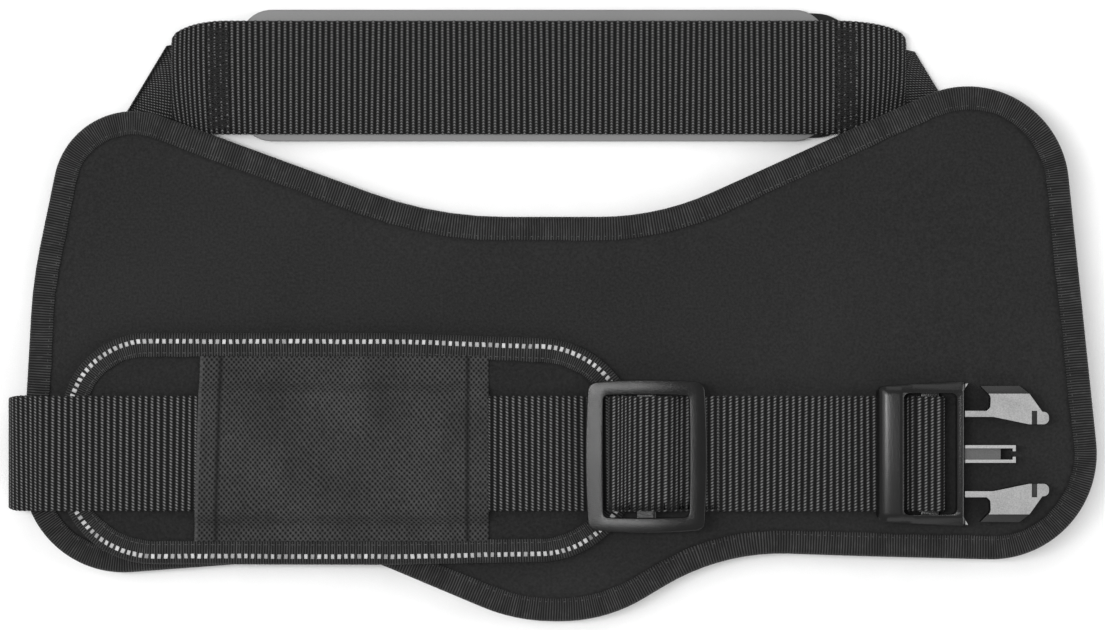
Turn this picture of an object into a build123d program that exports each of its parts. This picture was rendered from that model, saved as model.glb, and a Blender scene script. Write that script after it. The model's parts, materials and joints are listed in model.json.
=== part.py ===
"""Saddle harness for a working dog, laid flat with its coat side up.

+X runs across the back to the right flap, +Y to the chest band and +Z to the coat side.
The origin is at the middle of the overall length and width, on the surface it lies on.
"""
from build123d import *
import os
from math import cos, radians, sin

os.makedirs("parts", exist_ok=True)

# ------------------------------------------------------------------ driving dimensions, mm
flap_reach = 236.5         # origin to the right flap's edge, and to the belly strap's fold
front_reach = 133.5        # origin to the front edge of the chest panel
rear_reach = 133.5         # origin to the tip of the saddle's rear lobe
neck_edge = 42.8           # neck edge of the saddle, on the spine
skirt_margin = 20.0        # saddle behind the belly strap's rear edge

shell_clearance = 4.5      # surface to the outer shell, beyond two layers of webbing
flap_lift = 7.0            # how far the right flap rides up over the buckle socket
shell_thickness = 1.0
foam_thickness = 4.0
lining_thickness = 1.5
binding_width = 10.3       # width of the edge tape on each face
binding_lip = 0.8          # thickness of the edge tape

webbing_width = 50.0
webbing_thickness = 2.0
play = 0.3                 # gap between two layers that slide on each other
ply_gap = 0.2              # gap between the two plies of a sewn loop
loop_flat = 0.2            # short flat at the end of a sewn loop

strap_y = -60.0            # centre line of the belly strap
pad_margin = 25.5          # pad beyond each edge of the strap
pad_inset = 17.5           # left end of the pad to the strap's fold
pad_corner = 43.0          # corner radius of the pad
pad_skin = 1.0             # each fabric face of the pad
pad_foam_thickness = 3.0
pad_binding_lip = 0.7
stripe_width = 2.3         # reflective line in the pad's edge tape
stripe_inset = 3.7         # centre of that line to the pad's edge
stripe_thickness = 0.2
sleeve_length = 125.0
sleeve_thickness = 1.0

buckle_inset = 58.8        # shoulder of the male buckle to the flap's edge
buckle_length = 37.9
buckle_window = 26.3       # the buckle's window with its shoulder plate
buckle_thickness = 10.8
loop_length = 73.0         # adjuster to buckle
adjuster_length = 52.6
adjuster_margin = 8.0      # adjuster beyond each edge of the webbing
adjuster_thickness = 4.0

socket_inset = 46.5        # mouth of the socket to the flap's edge
socket_length = 55.5
socket_thickness = 12.9
socket_wall = 2.4

handle_width = 30.0
ring_wire = 4.0            # wire diameter of the leash ring
ring_width = 30.0          # between the centre lines of its sides
ring_depth = 25.0
ring_loop_width = 20.0
ring_loop_thickness = 1.6

chest_panel_depth = 57.5
chest_drop = 29.7          # front edge of the chest panel to the chest strap's centre line
anchor_angle = 31.0        # lean of the chest anchors from the Y axis

# ------------------------------------------------------------------ levels above the surface
under_space = 2 * webbing_thickness + shell_clearance    # surface to the outer shell
panel_thickness = shell_thickness + foam_thickness + lining_thickness
panel_top = under_space + panel_thickness
half_web = webbing_width / 2
half_ply = webbing_thickness / 2
skirt_edge = half_web - strap_y + skirt_margin    # rear edge of both flaps

pad_bottom = panel_top + binding_lip + play
pad_core_bottom = pad_bottom + pad_binding_lip
pad_foam_bottom = pad_core_bottom + pad_skin
pad_face_bottom = pad_foam_bottom + pad_foam_thickness
pad_face_top = pad_face_bottom + pad_skin
pad_binding_top = pad_face_top + pad_binding_lip

lower_ply = max(
    pad_binding_top + stripe_thickness + play,
    panel_top + flap_lift + 1.0,
)                          # underside of the belly strap's main run
lower_ply_top = lower_ply + webbing_thickness
upper_ply = lower_ply_top + play
upper_ply_top = upper_ply + webbing_thickness
hardware_bottom = upper_ply_top + play

cross_bottom = under_space - webbing_thickness
cross_mid = under_space - half_ply

# ------------------------------------------------------------------ places along the harness
fold_mid_x = -flap_reach + half_ply
fold_end_x = -flap_reach + 14.5
pad_left = -flap_reach + pad_inset
buckle_x = flap_reach - buckle_inset
buckle_left = buckle_x - buckle_length
adjuster_x = buckle_left - loop_length - adjuster_length / 2
adjuster_width = webbing_width + 2 * adjuster_margin
adjuster_gap = 2.0         # middle of the adjuster to the pad's right end
pad_right = adjuster_x - adjuster_gap
pad_length = pad_right - pad_left
pad_width = webbing_width + 2 * pad_margin
pad_x = (pad_left + pad_right) / 2
pad_y = strap_y + 2.0
socket_mouth = flap_reach - socket_inset
socket_back = socket_mouth - socket_length
ramp_start = flap_reach - 143.5
ramp_end = flap_reach - 105.5
ramp_radius = 150.0
chest_y = front_reach - chest_drop
chest_left = -flap_reach + 69.5
chest_right = flap_reach - 81.5
chest_x = (chest_left + chest_right) / 2
span = 3 * flap_reach      # longer than anything it trims

# saddle outline: one corner and one radius for each bend, clockwise from the left shoulder
saddle_corners = [
    (-flap_reach + 27.7, front_reach - 32.8, 35),
    (-50.7, neck_edge, 170),
    (46.0, neck_edge, 120),
    (flap_reach - 18.6, front_reach - 12.9, 44),
    (flap_reach + 5.17, -skirt_edge - 2.5, 46),
    (73.7, -skirt_edge + 1.8, 100),
    (23.2, -rear_reach, 70),
    (-16.0, -rear_reach, 80),
    (-84.5, -skirt_edge + 0.3, 60),
    (-flap_reach + 2.7, -skirt_edge - 10.8, 44),
    (-flap_reach + 10.0, 15.0, 200),
]


def saddle_plan(inset):
    """Plan of the saddle, drawn in from its edge by inset."""
    with BuildSketch() as plan:
        with BuildLine():
            FilletPolyline(
                *[(x, y) for x, y, r in saddle_corners],
                radius=[r for x, y, r in saddle_corners],
                close=True,
            )
        make_face()
        if inset > 0:
            offset(amount=-inset, kind=Kind.INTERSECTION, mode=Mode.REPLACE)
    return plan.sketch


def saddle_side(bottom, top):
    """Side view of one saddle layer, at heights above the outer shell's underside."""
    low = under_space + bottom
    high = under_space + top
    with BuildSketch() as side:
        with BuildLine():
            FilletPolyline(
                (-span, low),
                (ramp_start, low),
                (ramp_end, low + flap_lift),
                (span, low + flap_lift),
                radius=ramp_radius,
            )
            FilletPolyline(
                (-span, high),
                (ramp_start, high),
                (ramp_end, high + flap_lift),
                (span, high + flap_lift),
                radius=ramp_radius,
            )
            Line((-span, low), (-span, high))
            Line((span, low + flap_lift), (span, high + flap_lift))
        make_face()
    return side.sketch


def ply(points, radii, thickness):
    """Edge-on view of webbing that follows a path of straight runs and tangent arcs."""
    with BuildSketch() as edge_on:
        with BuildLine():
            FilletPolyline(*points, radius=radii)
        trace(line_width=thickness)
    return edge_on.sketch


def box_and_cross(length, width, line):
    """Stitch pattern of a sewn strap end: a box with its two diagonals."""
    with BuildSketch() as pattern:
        Rectangle(length, width)
        Rectangle(length - 2 * line, width - 2 * line, mode=Mode.SUBTRACT)
        with BuildLine():
            Line((-length / 2 + line, -width / 2 + line), (length / 2 - line, width / 2 - line))
        trace(line_width=line)
        with BuildLine():
            Line((-length / 2 + line, width / 2 - line), (length / 2 - line, -width / 2 + line))
        trace(line_width=line)
    return pattern.sketch


def save(builder, name):
    """Label a finished piece and write it."""
    builder.part.label = name
    export_step(builder.part, f"parts/{name}.step")


strap_plane = Plane.XZ.offset(-strap_y)
chest_plane = Plane.XZ.offset(-chest_y)
deep = front_reach + rear_reach

# ================================================================== saddle
layers = {
    "outer_shell": (0.0, shell_thickness),
    "saddle_foam": (shell_thickness, shell_thickness + foam_thickness),
    "saddle_lining": (shell_thickness + foam_thickness, panel_thickness),
}
for layer_name, (layer_bottom, layer_top) in layers.items():
    with BuildPart() as saddle_layer:
        with BuildSketch(Plane.XZ):
            add(saddle_side(layer_bottom, layer_top))
        extrude(amount=deep, both=True)
        with BuildSketch(Plane.XY):
            add(saddle_plan(binding_lip))
        extrude(amount=deep, mode=Mode.INTERSECT)
    save(saddle_layer, layer_name)

# edge tape: a ring folded over the edge, open where the cross strap leaves the saddle
with BuildPart() as saddle_binding:
    with BuildSketch(Plane.XZ):
        add(saddle_side(-binding_lip, panel_thickness + binding_lip))
    extrude(amount=deep, both=True)
    with BuildSketch(Plane.XY):
        add(saddle_plan(0))
        add(saddle_plan(binding_width), mode=Mode.SUBTRACT)
    extrude(amount=deep, mode=Mode.INTERSECT)
    with BuildSketch(Plane.XZ):
        add(saddle_side(0, panel_thickness))
    extrude_room = extrude(amount=deep, both=True, mode=Mode.PRIVATE)
    with BuildSketch(Plane.XY):
        add(saddle_plan(binding_lip))
    core = extrude(amount=deep, mode=Mode.PRIVATE)
    add(extrude_room & core, mode=Mode.SUBTRACT)
    with BuildSketch(strap_plane):
        with Locations((-flap_reach, cross_mid)):
            Rectangle(60, webbing_thickness)
    extrude(amount=half_web + play, both=True, mode=Mode.SUBTRACT)
save(saddle_binding, "saddle_binding")

# loop fields for name patches, on the outer shell
field_thickness = 1.5
field_width = 40.0
field_edges = {
    "label_field_left": (-flap_reach + 61.5, -handle_width / 2 - 55.0),
    "label_field_right": (handle_width / 2 + 35.0, flap_reach - 86.5),
}
for field_name, (field_left, field_right) in field_edges.items():
    with BuildPart() as label_field:
        with BuildSketch(Plane.XZ):
            add(saddle_side(-field_thickness, 0))
        extrude(amount=deep, both=True)
        with BuildSketch(Plane.XY):
            with Locations(((field_left + field_right) / 2, -2.0)):
                RectangleRounded(field_right - field_left, field_width, 6)
        extrude(amount=deep, mode=Mode.INTERSECT)
    save(label_field, field_name)

# ------------------------------------------------------------------ webbing under the saddle
cross_end = handle_width / 2 + 47.0
with BuildPart() as cross_strap:
    with BuildSketch(Plane.XY.offset(cross_bottom)):
        with Locations(((fold_end_x + cross_end) / 2, strap_y)):
            Rectangle(cross_end - fold_end_x, webbing_width)
    extrude(amount=webbing_thickness)
save(cross_strap, "cross_strap")

fold_top_mid = lower_ply + half_ply
with BuildPart() as strap_fold:
    with BuildSketch(strap_plane):
        fold_path = [
            (fold_end_x, cross_mid),
            (fold_mid_x, cross_mid),
            (fold_mid_x, fold_top_mid),
            (fold_end_x, fold_top_mid),
        ]
        add(ply(fold_path, [2.7, 7.5], webbing_thickness))
    extrude(amount=half_web, both=True)
save(strap_fold, "strap_fold")

handle_front = neck_edge - binding_width - 2.0
handle_rear = strap_y - 21.0
with BuildPart() as grab_handle:
    with BuildSketch(Plane.YZ):
        handle_path = [
            (handle_front, cross_mid),
            (handle_front - 18.0, cross_mid),
            (handle_front - 31.0, half_ply),
            (strap_y + 13.0, half_ply),
            (strap_y, cross_bottom - half_ply),
            (handle_rear, cross_bottom - half_ply),
        ]
        add(ply(handle_path, 8.0, webbing_thickness))
    extrude(amount=handle_width / 2, both=True)
save(grab_handle, "grab_handle")

# the leash ring's bar lies behind the cross strap, in a loop of narrow webbing
ring_y = strap_y - half_web - 9.0
ring_z = ring_wire / 2 + ring_loop_thickness + 0.2
ring_turn = ring_wire / 2 + 0.1 + ring_loop_thickness / 2
tab_ply_1 = cross_bottom - webbing_thickness - ring_loop_thickness / 2
tab_ply_2 = tab_ply_1 - ring_loop_thickness - ply_gap
tab_front = strap_y - 6.0
tab_rear = strap_y - half_web + 3.0
with BuildPart() as ring_loop:
    with BuildSketch(Plane.YZ):
        ring_loop_path = [
            (tab_front, tab_ply_1),
            (tab_rear, tab_ply_1),
            (ring_y + 4.5, ring_z + ring_turn),
            (ring_y - ring_turn, ring_z + ring_turn),
            (ring_y - ring_turn, ring_z - ring_turn),
            (ring_y + 4.5, ring_z - ring_turn),
            (tab_rear, tab_ply_2),
            (tab_front, tab_ply_2),
        ]
        turn = ring_turn - loop_flat / 2
        add(ply(ring_loop_path, [4, 4, turn, turn, 4, 4], ring_loop_thickness))
    extrude(amount=ring_loop_width / 2, both=True)
save(ring_loop, "ring_loop")

with BuildPart() as leash_ring:
    with BuildLine(Plane.XY.offset(ring_z)) as ring_line:
        FilletPolyline(
            (0, ring_y),
            (ring_width / 2, ring_y),
            (ring_width / 2, ring_y - ring_depth),
            (-ring_width / 2, ring_y - ring_depth),
            (-ring_width / 2, ring_y),
            radius=[0, 4, 13, 13, 4],
            close=True,
        )
    with BuildSketch(Plane((0, ring_y, ring_z), x_dir=(0, 1, 0), z_dir=(1, 0, 0))):
        Circle(ring_wire / 2)
    sweep()
save(leash_ring, "leash_ring")

thread_height = 0.3
thread_width = 0.9
cross_box_x = fold_end_x + 34.0
with BuildPart() as cross_stitching:
    with BuildSketch(Plane.XY.offset(cross_bottom - thread_height)):
        with Locations((cross_box_x, strap_y)):
            add(box_and_cross(webbing_width - 12.0, webbing_width - 12.0, thread_width))
    extrude(amount=thread_height)
save(cross_stitching, "cross_stitching")

with BuildPart() as handle_stitching:
    with BuildSketch(Plane.XY.offset(cross_bottom - thread_height)):
        with Locations((0, handle_front - 8.5)):
            add(box_and_cross(handle_width - 8.0, 11.0, thread_width))
    extrude(amount=thread_height)
save(handle_stitching, "handle_stitching")

# ================================================================== buckle socket
socket_y = strap_y
socket_half = 31.4
bar_z = socket_thickness / 2 - 0.5
bar_radius = 1.8
bar_x = socket_back - 6.0
bar_turn = bar_radius + 0.15 + half_ply
with BuildPart() as socket_strap:
    with BuildSketch(strap_plane):
        socket_strap_path = [
            (cross_end, cross_mid),
            (bar_x - 17.0, cross_mid),
            (bar_x - 8.5, bar_z + bar_turn),
            (bar_x + bar_turn, bar_z + bar_turn),
            (bar_x + bar_turn, bar_z - bar_turn),
            (bar_x - 8.5, bar_z - bar_turn),
            (bar_x - 17.0, cross_bottom - ply_gap - half_ply),
            (cross_end + 22.0, cross_bottom - ply_gap - half_ply),
        ]
        turn = bar_turn - loop_flat / 2
        add(ply(socket_strap_path, [6, 6, turn, turn, 6, 6], webbing_thickness))
    extrude(amount=half_web, both=True)
save(socket_strap, "socket_strap")

latch_gap = 0.4            # male arms to the walls of the socket
arm_height = 8.0
arm_reach = 36.6           # shoulder to tip of the male arms
arm_outer = 29.5           # strap centre line to the outer face of a catch
catch_start = 7.0          # shoulder to the rear point of a catch
catch_end = 28.0
pocket_height = arm_height + 2 * latch_gap
pocket_half = arm_outer - 2.0
with BuildPart() as buckle_socket:
    with BuildSketch(Plane.XY):
        with Locations(((socket_back + socket_mouth) / 2, socket_y)):
            RectangleRounded(socket_length, 2 * socket_half, 5)
    extrude(amount=socket_thickness)
    chamfer(buckle_socket.faces().sort_by(Axis.Z)[-1].edges(), 1.2)
    chamfer(buckle_socket.faces().sort_by(Axis.Z)[0].edges(), 1.2)
    with BuildSketch(Plane.XY):
        with Locations((socket_back - 1.5, socket_y)):
            Rectangle(18.0, 2 * socket_half - 4.0)
    extrude(amount=socket_thickness)
    with BuildSketch(Plane.XY):
        with Locations((socket_back - 5.5, socket_y)):
            Rectangle(14.0, webbing_width + 2 * play + 1.0)
    extrude(amount=socket_thickness, mode=Mode.SUBTRACT)
    with BuildSketch(strap_plane):
        with Locations((bar_x, bar_z)):
            Circle(bar_radius)
    extrude(amount=socket_half - 3.0, both=True)
    pocket_centre = socket_thickness / 2
    with BuildSketch(Plane.YZ.offset(socket_mouth)):
        with Locations((socket_y, pocket_centre)):
            Rectangle(2 * pocket_half, pocket_height)
    extrude(amount=-(arm_reach + 1.5), mode=Mode.SUBTRACT)
    window_left = socket_mouth - catch_end - 1.5
    window_right = socket_mouth - catch_start - 0.5
    with BuildSketch(Plane.XZ.offset(-socket_y)):
        with Locations(((window_left + window_right) / 2, pocket_centre)):
            Rectangle(window_right - window_left, pocket_height)
    extrude(amount=socket_half + 5.0, both=True, mode=Mode.SUBTRACT)
save(buckle_socket, "buckle_socket")

# ================================================================== belly strap
run_end = adjuster_x + adjuster_length / 2 + 43.0
with BuildPart() as belly_webbing:
    with BuildSketch(Plane.XY.offset(lower_ply)):
        with Locations(((fold_end_x + run_end) / 2, strap_y)):
            Rectangle(run_end - fold_end_x, webbing_width)
    extrude(amount=webbing_thickness)
save(belly_webbing, "belly_webbing")

# ================================================================== belly pad
pad_layers = {
    "pad_back": (pad_core_bottom, pad_skin),
    "pad_foam": (pad_foam_bottom, pad_foam_thickness),
    "pad_face": (pad_face_bottom, pad_skin),
}
for layer_name, (layer_bottom, layer_height) in pad_layers.items():
    with BuildPart() as pad_layer:
        with BuildSketch(Plane.XY.offset(layer_bottom)):
            with Locations((pad_x, pad_y)):
                RectangleRounded(
                    pad_length - 2 * pad_binding_lip,
                    pad_width - 2 * pad_binding_lip,
                    pad_corner - pad_binding_lip,
                )
        extrude(amount=layer_height)
    save(pad_layer, layer_name)


def pad_ring(outer_inset, inner_inset):
    """Ring that follows the pad's edge between two insets."""
    with BuildSketch() as ring:
        with Locations((pad_x, pad_y)):
            RectangleRounded(
                pad_length - 2 * outer_inset,
                pad_width - 2 * outer_inset,
                pad_corner - outer_inset,
            )
            RectangleRounded(
                pad_length - 2 * inner_inset,
                pad_width - 2 * inner_inset,
                pad_corner - inner_inset,
                mode=Mode.SUBTRACT,
            )
    return ring.sketch


with BuildPart() as pad_binding:
    with BuildSketch(Plane.XY.offset(pad_bottom)):
        add(pad_ring(0, binding_width))
    extrude(amount=pad_binding_top - pad_bottom)
    with BuildSketch(Plane.XY.offset(pad_core_bottom)):
        add(pad_ring(pad_binding_lip, binding_width + 1.0))
    extrude(amount=pad_face_top - pad_core_bottom, mode=Mode.SUBTRACT)
save(pad_binding, "pad_binding")

with BuildPart() as reflective_stripe:
    with BuildSketch(Plane.XY.offset(pad_binding_top)):
        add(pad_ring(stripe_inset - stripe_width / 2, stripe_inset + stripe_width / 2))
    extrude(amount=stripe_thickness)
save(reflective_stripe, "reflective_stripe")

# fabric sleeve sewn down in front of and behind the strap, which runs through it
sleeve_low = pad_face_top + sleeve_thickness / 2
sleeve_high = lower_ply_top + play + sleeve_thickness / 2
sleeve_front = pad_y + pad_width / 2 - binding_width
sleeve_rear = pad_y - pad_width / 2 + binding_width
with BuildPart() as pad_sleeve:
    with BuildSketch(Plane.YZ.offset(pad_x)):
        sleeve_path = [
            (sleeve_rear, sleeve_low),
            (strap_y - half_web - 6.0, sleeve_low),
            (strap_y - half_web - 1.5, sleeve_high),
            (strap_y + half_web + 1.5, sleeve_high),
            (strap_y + half_web + 6.0, sleeve_low),
            (sleeve_front, sleeve_low),
        ]
        add(ply(sleeve_path, 1.5, sleeve_thickness))
    extrude(amount=sleeve_length / 2, both=True)
save(pad_sleeve, "pad_sleeve")

# ================================================================== male buckle
buckle_bottom = lower_ply - 0.6
buckle_top = buckle_bottom + buckle_thickness
rail_top = buckle_top - 1.4
side_wall_left = 4.2
side_wall_right = 6.4
frame_half_left = half_web + side_wall_left
frame_half_right = half_web + side_wall_right
tunnel_length = buckle_length - buckle_window
tunnel_crest = tunnel_length - 1.1
window_end = 3.0           # thickness of the shoulder plate
window_half = half_web + 1.3
crossbar_left = buckle_x - 18.7
crossbar_right = buckle_x - 10.4
crossbar_bottom = upper_ply + 0.7
crossbar_top = crossbar_bottom + 2.3
guide_half = 3.8
guide_length = 22.3
rail_width = 1.35
arm_bottom = buckle_bottom + 1.5
with BuildPart() as buckle_frame:
    with BuildSketch(Plane.XY):
        with BuildLine():
            FilletPolyline(
                (buckle_left, strap_y - frame_half_left),
                (buckle_x, strap_y - frame_half_right),
                (buckle_x, strap_y + frame_half_right),
                (buckle_left, strap_y + frame_half_left),
                radius=[4.5, 1.5, 1.5, 4.5],
                close=True,
            )
        make_face()
    extrude(amount=buckle_top + 5)
    with BuildSketch(strap_plane):
        with BuildLine():
            FilletPolyline(
                (buckle_left, buckle_bottom),
                (buckle_left, buckle_top),
                (buckle_left + tunnel_crest, buckle_top),
                (buckle_left + tunnel_crest + 5.5, rail_top),
                (buckle_x, rail_top),
                (buckle_x, buckle_bottom),
                radius=[2.5, min(4.8, tunnel_crest - 0.7), 5, 6, 0.8, 0.8],
                close=True,
            )
        make_face()
    extrude(amount=frame_half_right + 5, both=True, mode=Mode.INTERSECT)
    with BuildSketch(strap_plane):
        with BuildLine():
            Polyline(
                (buckle_left - 1, buckle_bottom - 1),
                (buckle_left + tunnel_length + 1, buckle_bottom - 1),
                (buckle_left + tunnel_length + 1, hardware_bottom),
                (buckle_left - 1, hardware_bottom),
                close=True,
            )
        make_face()
    extrude(amount=window_half, both=True, mode=Mode.SUBTRACT)
    window_left = buckle_left + tunnel_length
    window_right = buckle_x - window_end
    with BuildSketch(Plane.XY):
        with Locations(((window_left + window_right) / 2, strap_y)):
            RectangleRounded(window_right - window_left, 2 * window_half, 2.6)
    extrude(amount=buckle_top + 5, mode=Mode.SUBTRACT)
    with BuildSketch(strap_plane):
        with Locations(((crossbar_left + crossbar_right) / 2, (crossbar_bottom + crossbar_top) / 2)):
            RectangleRounded(crossbar_right - crossbar_left, crossbar_top - crossbar_bottom, 0.8)
    extrude(amount=window_half + 1, both=True)
    # centre guide: two rails with hooked tips, joined by a web
    with BuildSketch(Plane.XY.offset(arm_bottom + 0.6)):
        with Locations((buckle_x + guide_length / 2 - 0.5, strap_y)):
            Rectangle(guide_length + 1.0, 2 * guide_half)
            Rectangle(guide_length + 2.0, 2 * (guide_half - rail_width), mode=Mode.SUBTRACT)
        with Locations((buckle_x + guide_length - rail_width / 2, strap_y)):
            Rectangle(rail_width, 2 * guide_half)
            Rectangle(rail_width, 2 * 1.2, mode=Mode.SUBTRACT)
    extrude(amount=arm_height - 1.2)
    with BuildSketch(Plane.XY.offset(arm_bottom + 3.2)):
        with Locations((buckle_x + 8.0 - 0.5, strap_y)):
            Rectangle(17.0, 2 * guide_half - rail_width)
    extrude(amount=1.6)
    # small corner barbs beside the shoulder plate
    for side in (1, -1):
        with BuildSketch(Plane.XY.offset(arm_bottom)):
            with BuildLine():
                Polyline(
                    (buckle_x - 1, strap_y + side * (frame_half_right - 3.9)),
                    (buckle_x - 0.2, strap_y + side * (frame_half_right - 3.9)),
                    (buckle_x + 1.7, strap_y + side * (frame_half_right - 0.8)),
                    (buckle_x - 1, strap_y + side * (frame_half_right - 0.8)),
                    close=True,
                )
            make_face()
        extrude(amount=arm_height)
save(buckle_frame, "buckle_frame")

wrap_start = buckle_left + tunnel_length - 1.4
wrap_high = crossbar_top + play + half_ply
wrap_right = crossbar_right + 0.5 + half_ply
with BuildPart() as buckle_wrap:
    with BuildSketch(strap_plane):
        wrap_turn = (wrap_high - lower_ply - half_ply - loop_flat) / 2
        wrap_path = [
            (wrap_start, upper_ply + half_ply),
            (wrap_start + 4.0, upper_ply + half_ply),
            (crossbar_left - 1.0, wrap_high),
            (wrap_right, wrap_high),
            (wrap_right, lower_ply + half_ply),
            (wrap_start, lower_ply + half_ply),
        ]
        add(ply(wrap_path, [3, 3, wrap_turn, wrap_turn], webbing_thickness))
    extrude(amount=half_web, both=True)
save(buckle_wrap, "buckle_wrap")

with BuildPart() as loop_lower:
    with BuildSketch(Plane.XY.offset(lower_ply)):
        with Locations(((run_end + wrap_start) / 2, strap_y)):
            Rectangle(wrap_start - run_end, webbing_width)
    extrude(amount=webbing_thickness)
save(loop_lower, "loop_lower")

# latch arms: a thin flexure, a catch that stands outwards and a rounded nose
flexure_inner = 16.0
flexure_outer = 18.7
nose_inner = 12.8
arm_start = play
for arm_name, side in (("latch_arm_upper", 1), ("latch_arm_lower", -1)):
    arm_corners = [
        (arm_start, flexure_inner, 0),
        (12.5, flexure_inner, 12),
        (28.0, nose_inner, 0),
        (arm_reach, nose_inner, 2.4),
        (arm_reach, flexure_outer - 0.6, 2.4),
        (arm_reach - 2.9, flexure_outer - 0.4, 0),
        (catch_end, arm_outer - 3.2, 9),
        (catch_end - 4.0, arm_outer, 2),
        (catch_start, arm_outer - 0.1, 0),
        (catch_start + 4.4, arm_outer - 4.5, 3),
        (catch_start + 4.2, flexure_outer + 1.4, 1.5),
        (catch_start + 2.6, flexure_outer, 0),
        (arm_start, flexure_outer, 0),
    ]
    with BuildPart() as latch_arm:
        with BuildSketch(Plane.XY.offset(arm_bottom)):
            with BuildLine():
                FilletPolyline(
                    *[(buckle_x + x, strap_y + side * y) for x, y, r in arm_corners],
                    radius=[r for x, y, r in arm_corners],
                    close=True,
                )
            make_face()
        extrude(amount=arm_height)
        with BuildSketch(Plane.XY.offset(arm_bottom + arm_height)):
            with Locations((buckle_x + 30.3, strap_y + side * 15.4)):
                Rectangle(2.2, 6.4)
        extrude(amount=-1.0, mode=Mode.SUBTRACT)
        with BuildSketch(Plane.XY.offset(arm_bottom + arm_height)):
            with Locations((buckle_x + 16.0, strap_y + side * (arm_outer - 0.8))):
                Rectangle(30.0, 5.2)
        extrude(amount=-1.6, mode=Mode.SUBTRACT)
    save(latch_arm, arm_name)

# ================================================================== adjuster
adjuster_bottom = hardware_bottom
adjuster_top = adjuster_bottom + adjuster_thickness
window_margin_x = 7.4
window_margin_y = 6.3
adjuster_y = strap_y - 1.0
centre_bar = 9.0
centre_bar_height = 1.8
bow = 1.2                  # how far each side of the adjuster bows outwards
half_long = adjuster_length / 2
half_wide = adjuster_width / 2
with BuildPart() as adjuster_frame:
    with BuildSketch(Plane.XY.offset(adjuster_bottom)) as adjuster_plan:
        with BuildLine(Plane((adjuster_x, adjuster_y))):
            corner_x = half_long - bow
            corner_y = half_wide - bow
            ThreePointArc((-corner_x, corner_y), (0, half_wide), (corner_x, corner_y))
            ThreePointArc((corner_x, corner_y), (half_long, 0), (corner_x, -corner_y))
            ThreePointArc((corner_x, -corner_y), (0, -half_wide), (-corner_x, -corner_y))
            ThreePointArc((-corner_x, -corner_y), (-half_long, 0), (-corner_x, corner_y))
        make_face()
        fillet(adjuster_plan.vertices(), 4.5)
    extrude(amount=adjuster_thickness)
    chamfer(adjuster_frame.faces().sort_by(Axis.Z)[-1].edges(), 0.9)
    with BuildSketch(Plane.XY.offset(adjuster_bottom)):
        with Locations((adjuster_x, adjuster_y)):
            RectangleRounded(
                adjuster_length - 2 * window_margin_x,
                adjuster_width - 2 * window_margin_y,
                2.2,
            )
    extrude(amount=adjuster_thickness, mode=Mode.SUBTRACT)
    with BuildSketch(Plane.XY.offset(adjuster_bottom)):
        with Locations((adjuster_x, adjuster_y)):
            Rectangle(centre_bar, adjuster_width - 2 * window_margin_y + 2)
    extrude(amount=centre_bar_height)
save(adjuster_frame, "adjuster_frame")

strap_end_length = half_long + 5.0
arch_mid = adjuster_bottom + centre_bar_height + 0.1 + half_ply
arch_turn = (arch_mid - upper_ply - half_ply - loop_flat) / 2
with BuildPart() as strap_end:
    with BuildSketch(strap_plane):
        strap_end_path = [
            (adjuster_x + strap_end_length, upper_ply + half_ply),
            (adjuster_x + centre_bar / 2 + 10.0, upper_ply + half_ply),
            (adjuster_x + centre_bar / 2 + 4.0, arch_mid),
            (adjuster_x - centre_bar / 2 - 10.9, arch_mid),
            (adjuster_x - centre_bar / 2 - 10.9, upper_ply + half_ply),
            (adjuster_x + centre_bar / 2 + 4.5, upper_ply + half_ply),
        ]
        add(ply(strap_end_path, [2.5, 3, arch_turn, arch_turn], webbing_thickness))
    extrude(amount=half_web, both=True)
save(strap_end, "strap_end")

loop_start = adjuster_x + strap_end_length
with BuildPart() as loop_upper:
    with BuildSketch(Plane.XY.offset(upper_ply)):
        with Locations(((loop_start + wrap_start) / 2, strap_y)):
            Rectangle(wrap_start - loop_start, webbing_width)
    extrude(amount=webbing_thickness)
save(loop_upper, "loop_upper")

# ================================================================== chest band
anchor_bottom = 0.9
anchor_mid = anchor_bottom + half_ply
anchor_top = anchor_bottom + webbing_thickness
band_backing = 1.0
band_film = 0.8
band_bottom = anchor_top + 0.7 + band_backing + band_film
band_mid = band_bottom + half_ply
with BuildPart() as chest_webbing:
    with BuildSketch(chest_plane):
        chest_path = [
            (chest_left + half_ply, anchor_top),
            (chest_left + half_ply, band_mid),
            (chest_right - half_ply, band_mid),
            (chest_right - half_ply, anchor_top),
        ]
        add(ply(chest_path, 3.0, webbing_thickness))
    extrude(amount=half_web, both=True)
    with BuildSketch(Plane.XY):
        with BuildLine():
            FilletPolyline(
                (chest_left, chest_y - half_web),
                (chest_left, chest_y + half_web),
                (chest_right, chest_y + half_web),
                (chest_right, chest_y - half_web),
                radius=[6, 21, 23, 6],
                close=True,
            )
        make_face()
    extrude(amount=band_mid + 5, mode=Mode.INTERSECT)
save(chest_webbing, "chest_webbing")

panel_front = front_reach
film_left = chest_left + 30.0
film_right = chest_right - 35.0
with BuildPart() as reflective_panel:
    with BuildSketch(Plane.XY.offset(band_bottom - band_film)):
        with Locations(((film_left + film_right) / 2, panel_front - chest_panel_depth / 2)):
            RectangleRounded(film_right - film_left, chest_panel_depth, 14)
    extrude(amount=band_film)
save(reflective_panel, "reflective_panel")

backing_left = film_left + 3.0
backing_right = film_right + 13.0
backing_depth = chest_panel_depth - 3.0
with BuildPart() as reflective_backing:
    with BuildSketch(Plane.XY.offset(band_bottom - band_film - band_backing)):
        with Locations(((backing_left + backing_right) / 2, panel_front - chest_panel_depth / 2)):
            RectangleRounded(backing_right - backing_left, backing_depth, 18)
    extrude(amount=band_backing)
save(reflective_backing, "reflective_backing")

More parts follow.
